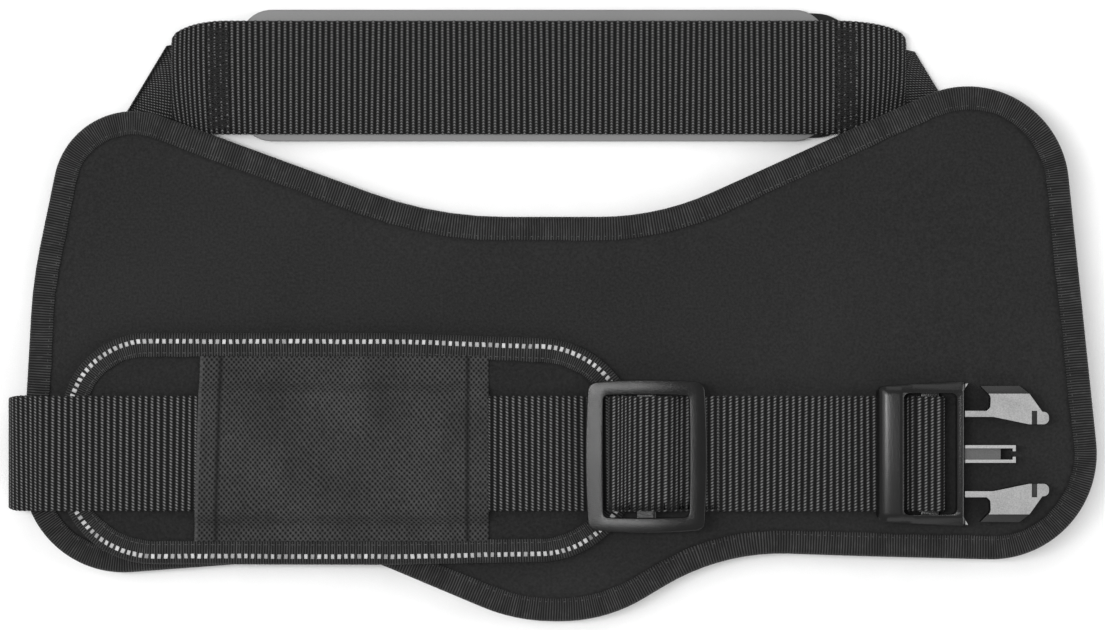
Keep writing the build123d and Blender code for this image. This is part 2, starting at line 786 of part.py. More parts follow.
tack_height = 0.4
tack_length = 9.5
for tack_name, tack_x in (
    ("chest_tack_left", film_left - 9.0),
    ("chest_tack_right", film_right + 8.5),
):
    with BuildPart() as chest_tack:
        with BuildSketch(Plane.XY.offset(band_bottom + webbing_thickness)):
            with Locations((tack_x, chest_y)):
                RectangleRounded(tack_length, webbing_width - 4.0, 1.5)
        extrude(amount=tack_height)
        add(saddle_binding.part, mode=Mode.SUBTRACT)
    save(chest_tack, tack_name)

# anchors: straps sewn under the saddle's front corners that run out to the chest band's ends
lean = radians(anchor_angle)
sewn_reach = 68.187        # from the line of the sewn ends to where the strap's edges would meet it
sewn_length = sewn_reach - half_web * (1 + sin(lean)) / cos(lean)
anchors = {
    "chest_anchor_left": (chest_left + 6.0, 1, 22.0, 0.0),
    "chest_anchor_right": (chest_right - 6.0, -1, 32.0, flap_lift),
}
for anchor_name, (anchor_x, side, rise_length, lift) in anchors.items():
    run = (side * sin(lean), cos(lean), 0)
    across = (run[1], -run[0], 0)
    anchor_plane = Plane((anchor_x, chest_y - half_web + 0.5, 0), x_dir=run, z_dir=across)
    with BuildPart() as chest_anchor:
        with BuildSketch(anchor_plane):
            anchor_path = [
                (40.0, anchor_mid),
                (-6.0, anchor_mid),
                (-6.0 - rise_length, cross_mid + lift),
                (-6.0 - rise_length - sewn_length, cross_mid + lift),
            ]
            add(ply(anchor_path, 18.0, webbing_thickness))
        extrude(amount=half_web, both=True)
        with BuildSketch(Plane.XY):
            with Locations((0, chest_y + 15.0 - span / 2)):
                Rectangle(2 * span, span)
        extrude(amount=deep, mode=Mode.INTERSECT)
        add(saddle_binding.part, mode=Mode.SUBTRACT)
    save(chest_anchor, anchor_name)
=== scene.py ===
# %% [markdown]
# # A dog's saddle harness, laid flat with its coat side up
# The harness is a thin padded saddle with webbing sewn on. A belly strap starts on the outer side,
# turns round the left edge and ends in a slide adjuster and a side-release buckle. It carries a
# sliding pad. A wide band with a reflective panel goes across the chest.
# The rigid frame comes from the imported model. This lesson builds what is soft round it, gives
# the mouldings rounded edges, and gives every piece a finish.

# %% Load the frame
import json
import math

import bmesh
import bpy
import numpy as np
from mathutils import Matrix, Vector

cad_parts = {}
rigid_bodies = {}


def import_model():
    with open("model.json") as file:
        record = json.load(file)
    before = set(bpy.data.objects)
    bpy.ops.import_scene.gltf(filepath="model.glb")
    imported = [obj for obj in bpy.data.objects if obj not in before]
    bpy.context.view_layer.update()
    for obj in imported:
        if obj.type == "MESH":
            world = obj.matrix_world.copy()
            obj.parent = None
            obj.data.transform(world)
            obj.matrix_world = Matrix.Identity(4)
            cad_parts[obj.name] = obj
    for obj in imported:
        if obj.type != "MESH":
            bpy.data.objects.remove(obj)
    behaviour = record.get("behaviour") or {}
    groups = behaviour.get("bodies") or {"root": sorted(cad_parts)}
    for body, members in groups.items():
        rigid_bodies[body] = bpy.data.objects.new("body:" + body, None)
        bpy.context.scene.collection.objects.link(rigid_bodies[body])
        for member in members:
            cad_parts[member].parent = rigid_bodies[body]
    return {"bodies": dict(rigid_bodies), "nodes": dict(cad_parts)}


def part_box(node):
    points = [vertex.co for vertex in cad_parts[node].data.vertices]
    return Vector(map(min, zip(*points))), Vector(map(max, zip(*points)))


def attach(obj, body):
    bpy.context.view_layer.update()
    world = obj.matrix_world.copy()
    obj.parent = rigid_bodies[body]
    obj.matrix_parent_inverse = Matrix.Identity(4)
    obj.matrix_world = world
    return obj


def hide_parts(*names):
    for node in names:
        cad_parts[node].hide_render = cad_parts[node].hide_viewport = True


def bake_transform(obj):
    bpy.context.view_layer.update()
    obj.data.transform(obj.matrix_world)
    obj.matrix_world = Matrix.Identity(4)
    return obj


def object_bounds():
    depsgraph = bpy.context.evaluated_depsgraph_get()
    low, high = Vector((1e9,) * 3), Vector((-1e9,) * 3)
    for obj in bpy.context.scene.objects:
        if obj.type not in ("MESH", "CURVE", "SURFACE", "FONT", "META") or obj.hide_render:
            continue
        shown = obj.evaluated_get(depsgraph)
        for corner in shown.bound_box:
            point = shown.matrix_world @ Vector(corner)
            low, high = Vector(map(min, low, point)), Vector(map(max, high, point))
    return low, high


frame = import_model()
cad_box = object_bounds()
scene = bpy.context.scene
print("bodies:", ", ".join(sorted(frame["bodies"])))

# %% [markdown]
# ## Units
# Sewn goods are measured in millimetres, so shapes are worked out in millimetres and turned into
# metres when they become meshes. Places are read from the boxes of the frame's nodes.

# %% Millimetres and the frame's levels
MM = 0.001


def box(node):
    """Lowest and highest corner of a frame node, in millimetres."""
    low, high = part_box(node)
    return np.array(low) / MM, np.array(high) / MM


run_low, run_high = box("belly_webbing")
UNDER = box("outer_shell")[0][2]   # underside of the saddle
PANEL = 6.5                   # thickness of the saddle: shell, foam and lining
LIP = 0.8                     # thickness of the edge tape
TAPE = 10.3                   # width of the edge tape on each face
WEB = run_high[1] - run_low[1]
PLY = run_high[2] - run_low[2]
STRAP_Y = (run_high[1] + run_low[1]) / 2
CROSS = box("cross_strap")[0][2] + PLY / 2
print(f"webbing {WEB:.1f} x {PLY:.1f} mm, saddle underside at {UNDER:.1f} mm")

# %% [markdown]
# ## Light, floor and camera
# Small goods are shown on a white table under soft boxes. A large one to the left gives every
# rounded edge a bright side, and weaker ones in front and behind lift the shadows. A narrow one
# overhead draws a highlight on the mouldings, one low on the right draws their right edges, and
# a bright surround keeps the table white. The camera looks straight down from two metres through
# a long lens, so that nothing leans.

# %% Camera, floor and lamps
VIEW_WIDTH = 480.7 * MM
CAMERA_HEIGHT = 2.0
MIDDLE = 16 * MM
SENSOR = 36.0
SURROUND = 0.52

camera_data = bpy.data.cameras.new("overhead")
camera_data.sensor_width = SENSOR
camera_data.lens = SENSOR * (CAMERA_HEIGHT - MIDDLE) / VIEW_WIDTH
camera = bpy.data.objects.new("overhead", camera_data)
camera.location = (0, 0, CAMERA_HEIGHT)
scene.collection.objects.link(camera)
scene.camera = camera

scene.view_settings.view_transform = "Standard"
world = bpy.data.worlds.new("studio") if scene.world is None else scene.world
scene.world = world
world.use_nodes = True
surround = world.node_tree.nodes["Background"]
surround.inputs["Color"].default_value = (1, 1, 1, 1)
surround.inputs["Strength"].default_value = SURROUND


def lamp(name, place, size, power):
    """A rectangular soft box at place, aimed at the harness."""
    data = bpy.data.lights.new(name, "AREA")
    data.shape = "RECTANGLE"
    data.size, data.size_y = size
    data.energy = power
    made = bpy.data.objects.new(name, data)
    made.location = place
    toward = -made.location.normalized()
    made.rotation_euler = toward.to_track_quat("-Z", "Y").to_euler()
    scene.collection.objects.link(made)


lamp("soft_box_left", (-1.15, 0.25, 1.6), (0.9, 1.5), 11)
lamp("soft_box_front", (0.3, 1.7, 1.7), (1.6, 1.0), 6)
lamp("fill_rear", (0.6, -1.6, 1.6), (1.6, 1.0), 6)
lamp("strip_above", (-0.36, 0.05, 1.75), (0.17, 1.0), 13)
lamp("edge_right", (1.9, 0.1, 1.0), (0.6, 1.6), 11)
print("camera, five lamps")

# %% [markdown]
# ## Shader maths as expressions
# A finish is easier to read as arithmetic than as a web of nodes. Signal wraps one output
# socket, and the usual operators on it add Math nodes. Finish is one material: it makes the
# nodes and hands out signals.

# %% Signals and finishes


class Signal:
    """One output socket; operators on it add Math nodes."""

    def __init__(self, finish, socket):
        self.finish = finish
        self.socket = socket

    def __add__(self, other):
        return self.finish.math("ADD", self, other)

    def __radd__(self, other):
        return self.finish.math("ADD", other, self)

    def __sub__(self, other):
        return self.finish.math("SUBTRACT", self, other)

    def __rsub__(self, other):
        return self.finish.math("SUBTRACT", other, self)

    def __mul__(self, other):
        return self.finish.math("MULTIPLY", self, other)

    def __rmul__(self, other):
        return self.finish.math("MULTIPLY", other, self)

    def __truediv__(self, other):
        return self.finish.math("DIVIDE", self, other)

    def __pow__(self, other):
        return self.finish.math("POWER", self, other)


CLOTH_GLOSS = 0.18


class Finish:
    """A material with one Principled shader, its constants, and signals that vary."""

    def __init__(self, name, constants):
        self.material = bpy.data.materials.new(name)
        self.material.use_nodes = True
        self.tree = self.material.node_tree
        self.shader = self.tree.nodes["Principled BSDF"]
        self.shader.inputs["Specular IOR Level"].default_value = CLOTH_GLOSS
        for socket, value in constants.items():
            self.shader.inputs[socket].default_value = value

    def node(self, kind, settings, inputs):
        """A node of any kind: its settings first, then the values or links of its sockets."""
        made = self.tree.nodes.new(kind)
        for key, value in settings.items():
            setattr(made, key, value)
        for key, value in inputs.items():
            if isinstance(value, Signal):
                self.tree.links.new(value.socket, made.inputs[key])
            else:
                made.inputs[key].default_value = value
        return made

    def math(self, operation, first, second=0.0):
        made = self.node("ShaderNodeMath", {"operation": operation}, {0: first, 1: second})
        return Signal(self, made.outputs[0])

    def clamp(self, value):
        made = self.node("ShaderNodeClamp", {}, {0: value})
        return Signal(self, made.outputs[0])

    def wave(self, turns):
        """1 at whole turns, 0 half way between."""
        return 0.5 + 0.5 * self.math("COSINE", turns * (2 * math.pi))

    def split(self, socket, scale):
        """The three numbers of a vector socket, each times scale."""
        made = self.node("ShaderNodeSeparateXYZ", {}, {0: Signal(self, socket)})
        return [Signal(self, output) * scale for output in made.outputs]

    def uv(self):
        """The piece's own coordinates in millimetres: along and across."""
        made = self.node("ShaderNodeUVMap", {"uv_map": "weave"}, {})
        return self.split(made.outputs[0], 1 / MM)[:2]

    def place(self):
        """Object coordinates."""
        made = self.node("ShaderNodeTexCoord", {}, {})
        return Signal(self, made.outputs["Object"])

    def place_mm(self):
        """Object coordinates as three numbers in millimetres."""
        return self.split(self.place().socket, 1 / MM)

    def upward(self):
        """1 on faces that look up, 0 on walls and steep slopes."""
        made = self.node("ShaderNodeNewGeometry", {}, {})
        return self.clamp((self.split(made.outputs["Normal"], 1.0)[2] - 0.7) * 4.0)

    def noise(self, scale, detail=2.0, vector=None):
        inputs = {"Vector": vector or self.place(), "Scale": scale, "Detail": detail}
        made = self.node("ShaderNodeTexNoise", {}, inputs)
        return Signal(self, made.outputs[0])

    def join(self, x, y):
        made = self.node("ShaderNodeCombineXYZ", {}, {0: x, 1: y})
        return Signal(self, made.outputs[0])

    def attribute(self, name):
        made = self.node("ShaderNodeAttribute", {"attribute_name": name}, {})
        return Signal(self, made.outputs["Fac"])

    def tone(self, factor, darkest, lightest):
        """Base colour between two greys, by factor."""
        settings = {"data_type": "RGBA", "clamp_factor": True}
        inputs = {0: factor, 6: grey(darkest), 7: grey(lightest)}
        made = self.node("ShaderNodeMix", settings, inputs)
        self.set("Base Color", Signal(self, made.outputs[2]))

    def set(self, socket, value):
        self.tree.links.new(value.socket, self.shader.inputs[socket])

    def bump(self, height, depth):
        """Relief that is depth millimetres deep where height goes from 0 to 1."""
        inputs = {"Height": height, "Distance": depth * MM, "Strength": 1.0}
        made = self.node("ShaderNodeBump", {}, inputs)
        self.tree.links.new(made.outputs[0], self.shader.inputs["Normal"])


def grey(level):
    """A neutral colour from its display level, 0 to 255, by the display's transfer curve."""
    linear = (level / 255 + 0.055) ** 2.4 / 1.055 ** 2.4 if level > 10 else level / 255 / 12.92
    return (linear, linear, linear, 1.0)


def cloth(name, roughness, sheen, sheen_roughness=0.5):
    """A finish for anything woven or knitted."""
    return Finish(name, {"Roughness": roughness, "Sheen Weight": sheen,
                         "Sheen Roughness": sheen_roughness})


print("white paper is", [round(c, 2) for c in grey(240)[:3]])

# %% [markdown]
# ## Finish: ribbed webbing
# Heavy webbing is woven so that the weft makes ribs right across the strap. On each rib the warp
# shows as a column of small slanted floats that catch the light, and between ribs it is nearly
# black. The ribs are real relief in the mesh. The floats are too many for that, so they are a
# pattern on the strap's own coordinates: one wave along the strap, one across, slanted and
# shifted by half a float from one rib to the next.

# %% Webbing
RIB = 2.7


def webbing_finish(name, rib, lightest, darkest=7, float_pitch=1.32, braided=False):
    finish = cloth(name, 0.7, 0.03)
    along, across = finish.uv()
    ribs = along / rib
    number = finish.math("ROUND", ribs)
    crest = finish.wave(ribs)
    slant = ribs - number
    if braided:
        slant = finish.math("ABSOLUTE", slant) * 1.4
    floats = finish.wave(across / float_pitch + number * 0.5 + slant * 0.95)
    uneven = finish.noise(0.55, 3.0, finish.join(along, across))
    shade = crest ** 2.6 * (0.04 + 1.1 * floats ** 1.4) * (0.3 + 1.4 * uneven)
    finish.tone(shade, darkest, lightest)
    finish.set("Roughness", 0.85 - 0.3 * shade)
    finish.bump(crest * 0.5 + floats * crest * 0.5, 0.35)
    return finish.material


strap_webbing = webbing_finish("ribbed_webbing", RIB, 114)
narrow_webbing = webbing_finish("narrow_webbing", 1.6, 110, float_pitch=0.9)
fine_webbing = webbing_finish("fine_webbing", 1.35, 112, 14, float_pitch=1.2)

# %% [markdown]
# ## Finish: edge tape
# The tape is grosgrain, with fine cords straight across it. It is a little worn and lighter in
# patches, and the sewn line shows as a shadow.

# %% Edge tape
CORD = 1.15


def tape_finish(name, lightest, darkest):
    finish = cloth(name, 0.8, 0.03)
    along, across = finish.uv()
    cords = finish.wave(along / CORD + finish.noise(0.05, 2.0, finish.join(along, across)) * 1.2)
    patchy = finish.noise(0.12, 4.0, finish.join(along, across * 0.4))
    worn = finish.clamp(finish.noise(0.35, 3.0, finish.join(along, across * 0.5)) * 5.0 - 2.6)
    shade = cords * (0.1 + 1.1 * patchy + 0.4 * worn)
    finish.tone(shade, darkest, lightest)
    finish.bump(cords, 0.3)
    return finish.material


edge_tape = tape_finish("edge_tape", 68, 7)

# %% [markdown]
# ## Finish: neoprene lining, shell and loop field
# The lining is a smooth knit bonded to the foam: almost one tone, with a fine grain and faint
# flecks. The shell is a plain coated weave. The loop field that holds a name patch is a carpet of
# tiny loops.

# %% Lining, shell, loop field


def lining_finish(name, level):
    finish = cloth(name, 0.9, 0.02, 0.4)
    grain = finish.noise(900.0, 3.0)
    cloud = finish.noise(14.0, 3.0)
    shade = grain * 0.75 + cloud * 0.25
    finish.tone(shade, level - 24, level + 20)
    finish.bump(grain, 0.15)
    return finish.material


def shell_finish(name):
    finish = cloth(name, 0.65, 0.08)
    x, y, z = finish.place_mm()
    over = finish.wave(x / 0.9) * finish.wave(y / 0.9)
    under = finish.wave(x / 0.9 + 0.5) * finish.wave(y / 0.9 + 0.5)
    weave = over + under
    patchy = finish.noise(30.0, 4.0)
    finish.tone(weave * 0.7 + patchy * 0.4, 20, 52)
    finish.bump(weave, 0.15)
    return finish.material


def loop_finish(name):
    finish = cloth(name, 0.95, 0.5)
    curls = finish.noise(1500.0, 4.0)
    tufts = finish.noise(260.0, 3.0)
    finish.tone(curls * 0.6 + tufts * 0.5, 12, 58)
    finish.bump(curls * 0.6 + tufts * 0.4, 0.5)
    return finish.material


lining = lining_finish("neoprene_lining", 29)
pad_fabric = lining_finish("pad_fabric", 24)
shell = shell_finish("shell_fabric")
loop_field = loop_finish("loop_field")

# %% [markdown]
# ## Finish: sleeve fabric
# The sleeve is a coarse basket weave. Its yarns cross in a staggered grid, so that small dark
# holes stand between lighter knots.

# %% Sleeve fabric
HOLE_X, HOLE_Y = 2.1, 2.5
HEM = 9.0                    # width of the hems at the sleeve's two ends
SLEEVE_LENGTH = box("pad_sleeve")[1][0] - box("pad_sleeve")[0][0]


def sleeve_finish(name):
    finish = cloth(name, 0.75, 0.03)
    along, across = finish.uv()
    bend = finish.noise(0.05, 2.0, finish.join(along, across)) * 1.2
    column, row = along / HOLE_X + bend, across / HOLE_Y + bend
    holes = (finish.wave(column) * finish.wave(row)) ** 1.5
    holes = holes + (finish.wave(column + 0.5) * finish.wave(row + 0.5)) ** 1.5
    uneven = finish.noise(0.4, 4.0, finish.join(along, across))
    yarn = finish.wave(along / (HOLE_X / 4)) * 0.3
    # painted shade and light: broad darker and lighter patches stand in for the shading of soft folds
    cloud = 0.3 + 1.3 * finish.noise(0.035, 2.0, finish.join(along, across * 0.7))
    from_end = finish.math("MINIMUM", along, SLEEVE_LENGTH - along)
    sewn = finish.clamp(1.0 - finish.math("ABSOLUTE", from_end - HEM) / 1.5) * 0.75
    # lighter along the left end, over its first 1.6 mm
    left_end_lighter = finish.clamp(1.6 - along) * 0.8
    shade = (0.25 + 0.9 * uneven + yarn) * (1.0 - holes * 1.15) * cloud * (1.0 - sewn) + left_end_lighter
    finish.tone(shade, 5, 66)
    finish.set("Roughness", 0.75 + 0.15 * holes)
    finish.bump(1.0 - holes, 0.35)
    return finish.material


sleeve_fabric = sleeve_finish("sleeve_fabric")

# %% [markdown]
# ## Finish: reflective film, reflective dashes and thread
# The film is a smooth grey coat of glass beads, so it is matt with a slight glitter. The dashes in
# the pad's tape are the same film woven in, each a little brighter or duller than the next: a
# number stored on each dash picks its grey.

# %% Film, dashes, thread


def film_finish(name, level):
    finish = Finish(name, {"Roughness": 0.5, "Specular IOR Level": 0.6})
    beads = finish.noise(2600.0, 2.0)
    smear = finish.noise(25.0, 4.0)
    shade = beads * 0.5 + smear * 0.5
    finish.tone(shade, level - 14, level + 10)
    finish.bump(beads, 0.05)
    return finish.material


def dash_finish(name):
    finish = Finish(name, {"Roughness": 0.45})
    grain = finish.noise(1800.0, 2.0)
    shade = finish.attribute("tone") * 0.8 + grain * 0.2
    finish.tone(shade, 105, 200)
    finish.bump(grain, 0.08)
    return finish.material


def thread_finish(name, level):
    finish = cloth(name, 0.6, 0.2)
    twist = finish.noise(2200.0, 1.0)
    finish.tone(twist, level * 0.5, level * 1.3)
    finish.bump(twist, 0.08)
    return finish.material


film = film_finish("reflective_film", 106)
dashes = dash_finish("reflective_dashes")
backing_fabric = lining_finish("film_backing", 27)
tape_thread = thread_finish("tape_thread", 62)
tack_thread = thread_finish("tack_thread", 15)

# %% [markdown]
# ## Finish: moulded plastic and steel
# The mouldings are black nylon with a satin skin, smooth on the frames. On the latch arms the faces
# that point up are painted paler than the edges: a painted highlight, with a fine grain in it. The
# leash ring is plated steel with fine wear.

# %% Plastic and steel


def plastic_finish(name, level, roughness):
    finish = Finish(name, {"Specular IOR Level": 0.28, "Coat Roughness": 0.3})
    grain = finish.noise(2400.0, 3.0)
    wear = finish.noise(60.0, 5.0)
    shade = grain * 0.5 + wear * 0.5
    finish.tone(shade, level - 8, level + 8)
    finish.set("Roughness", roughness - 0.08 + 0.16 * wear)
    finish.bump(grain, 0.04)
    return finish.material


def top_lit_finish(name, lit_above):
    """Painted highlight on the faces that look up, with grain and rubbing in it, and black below the
    given level.
    """
    finish = Finish(name, {"Specular IOR Level": 0.3})
    upward = finish.upward()
    grain = finish.noise(1700.0, 4.0)
    x, y, z = finish.place_mm()
    high = finish.clamp((z - lit_above) * 3.0)
    rubbed = finish.noise(90.0, 3.0)
    # painted highlight: faces that look up are painted pale above the given level and black below it;
    # grain and rubbing break it up
    painted_top_light = upward * (0.04 + 0.96 * high) * (0.2 + 0.7 * grain + 0.4 * rubbed)
    finish.tone(painted_top_light, 16, 170)
    finish.set("Roughness", 0.35 + 0.2 * upward)
    finish.bump(grain, 0.08)
    return finish.material


def buckle_finish(name, shoulder, rail_level):
    """Satin left of the shoulder. Right of it, over the centre guide, faces that look up get a painted
    highlight.
    """
    finish = Finish(name, {"Specular IOR Level": 0.32})
    x, y, z = finish.place_mm()
    upward = finish.upward()
    guide = finish.clamp((x - shoulder) * 4.0)
    grain = finish.noise(1700.0, 4.0)
    # painted highlight: stronger on the raised rails than on the web between them
    rails = finish.clamp((z - rail_level) * 2.0)
    # painted highlight: a bright band along the shoulder plate, in place of its lit edges
    plate_highlight = finish.clamp(1.0 - finish.math("ABSOLUTE", x - shoulder + 0.7) * 2.2) * 0.5
    # painted highlight on the faces that look up, right of the shoulder and along it, broken by grain
    painted_top_light = upward * (guide * (0.3 + 0.7 * rails) + plate_highlight * 0.7) * (0.5 + 0.7 * grain)
    finish.tone(painted_top_light, 16, 170)
    finish.set("Roughness", 0.22 + 0.28 * guide)
    finish.bump(grain, 0.04)
    return finish.material


def steel_finish(name):
    finish = Finish(name, {})
    scratch = finish.noise(700.0, 5.0)
    tarnish = finish.noise(45.0, 4.0)
    finish.tone(tarnish, 120, 196)
    finish.set("Metallic", 0.9 + 0.1 * tarnish)
    finish.set("Roughness", 0.22 + 0.25 * scratch)
    finish.bump(scratch, 0.03)
    return finish.material


LATCH_TOP = box("latch_arm_upper")[1][2]
plastic = plastic_finish("black_nylon", 14, 0.22)
# painted highlight on the latch arms' up faces, ending 0.6 mm under their top so that the lower strip
# stays black
lit_arm_nylon = top_lit_finish("nylon_with_painted_highlight", LATCH_TOP - 0.6)
steel = steel_finish("plated_steel")
table_top = plastic_finish("white_table", 243, 0.7)
print(len(bpy.data.materials), "materials")

# %% Floor
FLOOR_SIDE = 10.0
FLOOR_DROP = 0.0003
corners = np.array([[-1, -1, 0], [1, -1, 0], [1, 1, 0], [-1, 1, 0]]) * FLOOR_SIDE / 2
floor_mesh = bpy.data.meshes.new("table")
floor_mesh.from_pydata((corners - [0, 0, FLOOR_DROP]).tolist(), [], [(0, 1, 2, 3)])
floor_mesh.materials.append(table_top)
floor = bpy.data.objects.new("table", floor_mesh)
scene.collection.objects.link(floor)

# %% [markdown]
# ## Lines, outlines and grids
# Everything sewn is a strip or a sheet. Three helpers make nearly all of it: a line with rounded
# corners, points spaced evenly on it, and a mesh from a grid of points. The grid may close on
# itself either way. Faces that point inwards are turned, by the sign of the volume.

# %% Rounded lines


def rounded(corners, radii, closed=False):
    """Corner points joined by straight runs, each corner replaced by an arc tangent to both runs.
    The arc starts radius * tan(turn / 2) before the corner, and its points turn evenly."""
    corners = np.array(corners, float)
    count = len(corners)
    pieces = []
    for k in range(count):
        radius = radii[k]
        if radius <= 0 or (not closed and k in (0, count - 1)):
            pieces.append(corners[k:k + 1])
            continue
        before = corners[k] - corners[k - 1]
        after = corners[(k + 1) % count] - corners[k]
        before, after = before / np.linalg.norm(before), after / np.linalg.norm(after)
        turn = math.acos(np.clip(before @ after, -1, 1))
        start = corners[k] - before * radius * math.tan(turn / 2)
        inward = after - before * (after @ before)
        inward = inward / np.linalg.norm(inward)
        angles = np.linspace(0, turn, max(4, int(math.degrees(turn) / 3)))[:, None]
        pieces.append(start + radius * (np.sin(angles) * before + (1 - np.cos(angles)) * inward))
    return np.concatenate(pieces)


def lengths(line):
    """Distance along a line at each of its points."""
    return np.concatenate([[0], np.cumsum(np.linalg.norm(np.diff(line, axis=0), axis=1))])


def at(line, where):
    """Points on a line at the given distances along it, in an array of any shape."""
    reach = lengths(line)
    return np.stack([np.interp(where, reach, line[:, k]) for k in range(line.shape[1])], axis=-1)


def outline(corners, step):
    """A closed outline from (x, y, radius) corners: an even number of points about step apart."""
    corners = np.array(corners, float)
    line = rounded(corners[:, :2], corners[:, 2], closed=True)
    line = np.vstack([line, line[:1]])
    total = lengths(line)[-1]
    count = 2 * round(total / step / 2)
    return at(line, np.arange(count) * total / count), total


def inward(loop):
    """Unit vectors that point into a closed outline, by central differences."""
    ahead = np.roll(loop, -1, 0) - np.roll(loop, 1, 0)
    ahead = ahead / np.linalg.norm(ahead, axis=1)[:, None]
    normal = np.stack([-ahead[:, 1], ahead[:, 0]], axis=1)
    area = np.sum(loop[:, 0] * np.roll(loop[:, 1], -1) - np.roll(loop[:, 0], -1) * loop[:, 1])
    return normal if area > 0 else -normal


# %% Meshes from grids


def piece(name, points, faces, material, uv=None):
    """A mesh object from points in millimetres and groups of faces, each group an index array
    (faces, corners). Faces are turned if the signed volume, a sixth of the sum of each corner
    fan's triple products, is negative. uv is given per face corner, in millimetres."""
    points = np.asarray(points, float) * MM
    volume = 0.0
    for group in faces:
        for k in range(1, group.shape[1] - 1):
            a, b, c = points[group[:, 0]], points[group[:, k]], points[group[:, k + 1]]
            volume += np.einsum("ij,ij->", a, np.cross(b, c))
    if volume < 0:
        faces = [group[:, ::-1] for group in faces]
        uv = None if uv is None else [group[:, ::-1] for group in uv]
    corners = np.concatenate([group.ravel() for group in faces])
    sizes = np.concatenate([np.full(len(group), group.shape[1]) for group in faces])
    mesh = bpy.data.meshes.new(name)
    mesh.vertices.add(len(points))
    mesh.vertices.foreach_set("co", points.astype(np.float32).ravel())
    mesh.loops.add(len(corners))
    mesh.loops.foreach_set("vertex_index", corners.astype(np.int32))
    mesh.polygons.add(len(sizes))
    starts = np.concatenate([[0], np.cumsum(sizes)[:-1]])
    mesh.polygons.foreach_set("loop_start", starts.astype(np.int32))
    mesh.polygons.foreach_set("use_smooth", np.ones(len(sizes), bool))
    if uv is not None:
        layer = mesh.uv_layers.new(name="weave")
        flat = np.concatenate([group.reshape(-1, 2) for group in uv]) * MM
        layer.uv.foreach_set("vector", flat.astype(np.float32).ravel())
    mesh.update(calc_edges=True)
    mesh.validate()
    mesh.materials.append(material)
    made = bpy.data.objects.new(name, mesh)
    scene.collection.objects.link(made)
    return made


def grid_faces(rows, columns, wrap_rows):
    """Quads of a grid whose columns close on themselves, and whose rows do if wrap_rows."""
    last = rows if wrap_rows else rows - 1
    i, j = np.meshgrid(np.arange(last), np.arange(columns), indexing="ij")
    i2, j2 = (i + 1) % rows, (j + 1) % columns
    quads = [i * columns + j, i2 * columns + j, i2 * columns + j2, i * columns + j2]
    return np.stack([q.ravel() for q in quads], axis=1), (i, i + 1, j, j2)


def skin(name, points, uv, material, wrap_rows=False):
    """A tube-like mesh from a (rows, columns, 3) grid whose columns close into a ring. Open ends
    get a cap. uv has the same shape, with one more row where the rows close."""
    rows, columns = points.shape[:2]
    quads, (i, i2, j, j2) = grid_faces(rows, columns, wrap_rows)
    corners = [uv[a.ravel(), b.ravel()] for a, b in ((i, j), (i2, j), (i2, j2), (i, j2))]
    faces, maps = [quads], [np.stack(corners, axis=1)]
    if not wrap_rows:
        ring = np.arange(columns)
        faces += [ring[::-1][None], ring[None] + (rows - 1) * columns]
        maps += [uv[0, ::-1][None], uv[-1][None]]
    return piece(name, points.reshape(-1, 3), faces, material, maps)


# %% [markdown]
# ## Finishing a piece
# Each piece names the frame nodes that it stands for, a material slot of the record, and the body
# that it moves with.

# %% Say what a piece is


def belongs(made, body, slot, *nodes):
    """Hide the frame nodes that the piece stands for, and let it move with its body."""
    if nodes:
        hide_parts(*nodes)
    if body:
        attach(made, body)
    print(f"{made.name}: {len(made.data.polygons)} faces on {body or 'two bodies'}")
    return made


# %% [markdown]
# ## Slow waves
# Cloth is never exactly straight. A few sines with seeded lengths and phases give the same gentle
# irregularity each time, smooth enough to stay invisible until it is missing.

# %% Gentle irregularity


def drift(where, longest, seed, waves=5):
    """Sum of sines along where, from the longest wavelength down, about -1 to 1."""
    random = np.random.default_rng(seed)
    total = np.zeros_like(np.asarray(where, float))
    for k in range(waves):
        length = longest / (1 + 1.7 * k * random.uniform(0.7, 1.3))
        total = total + np.sin(2 * math.pi * where / length + random.uniform(0, 6.28)) / (1 + k)
    return total / 2.0

# %% [markdown]
# ## How a strap is made
# Webbing is a flat strip that follows a line, so it is a profile carried along a path. The
# profile is a flat bar with round edges. Where a rib passes, the profile swells a little, at its
# faces and at its edges, so that ribs show in the outline of the strap too. A strap may also be
# narrowed at an end, or have its ribs bowed.

# %% Strap
EDGE_ANGLES = np.radians([90, 54, 18, -18, -54, -90])
FLAT_COLUMNS = 9


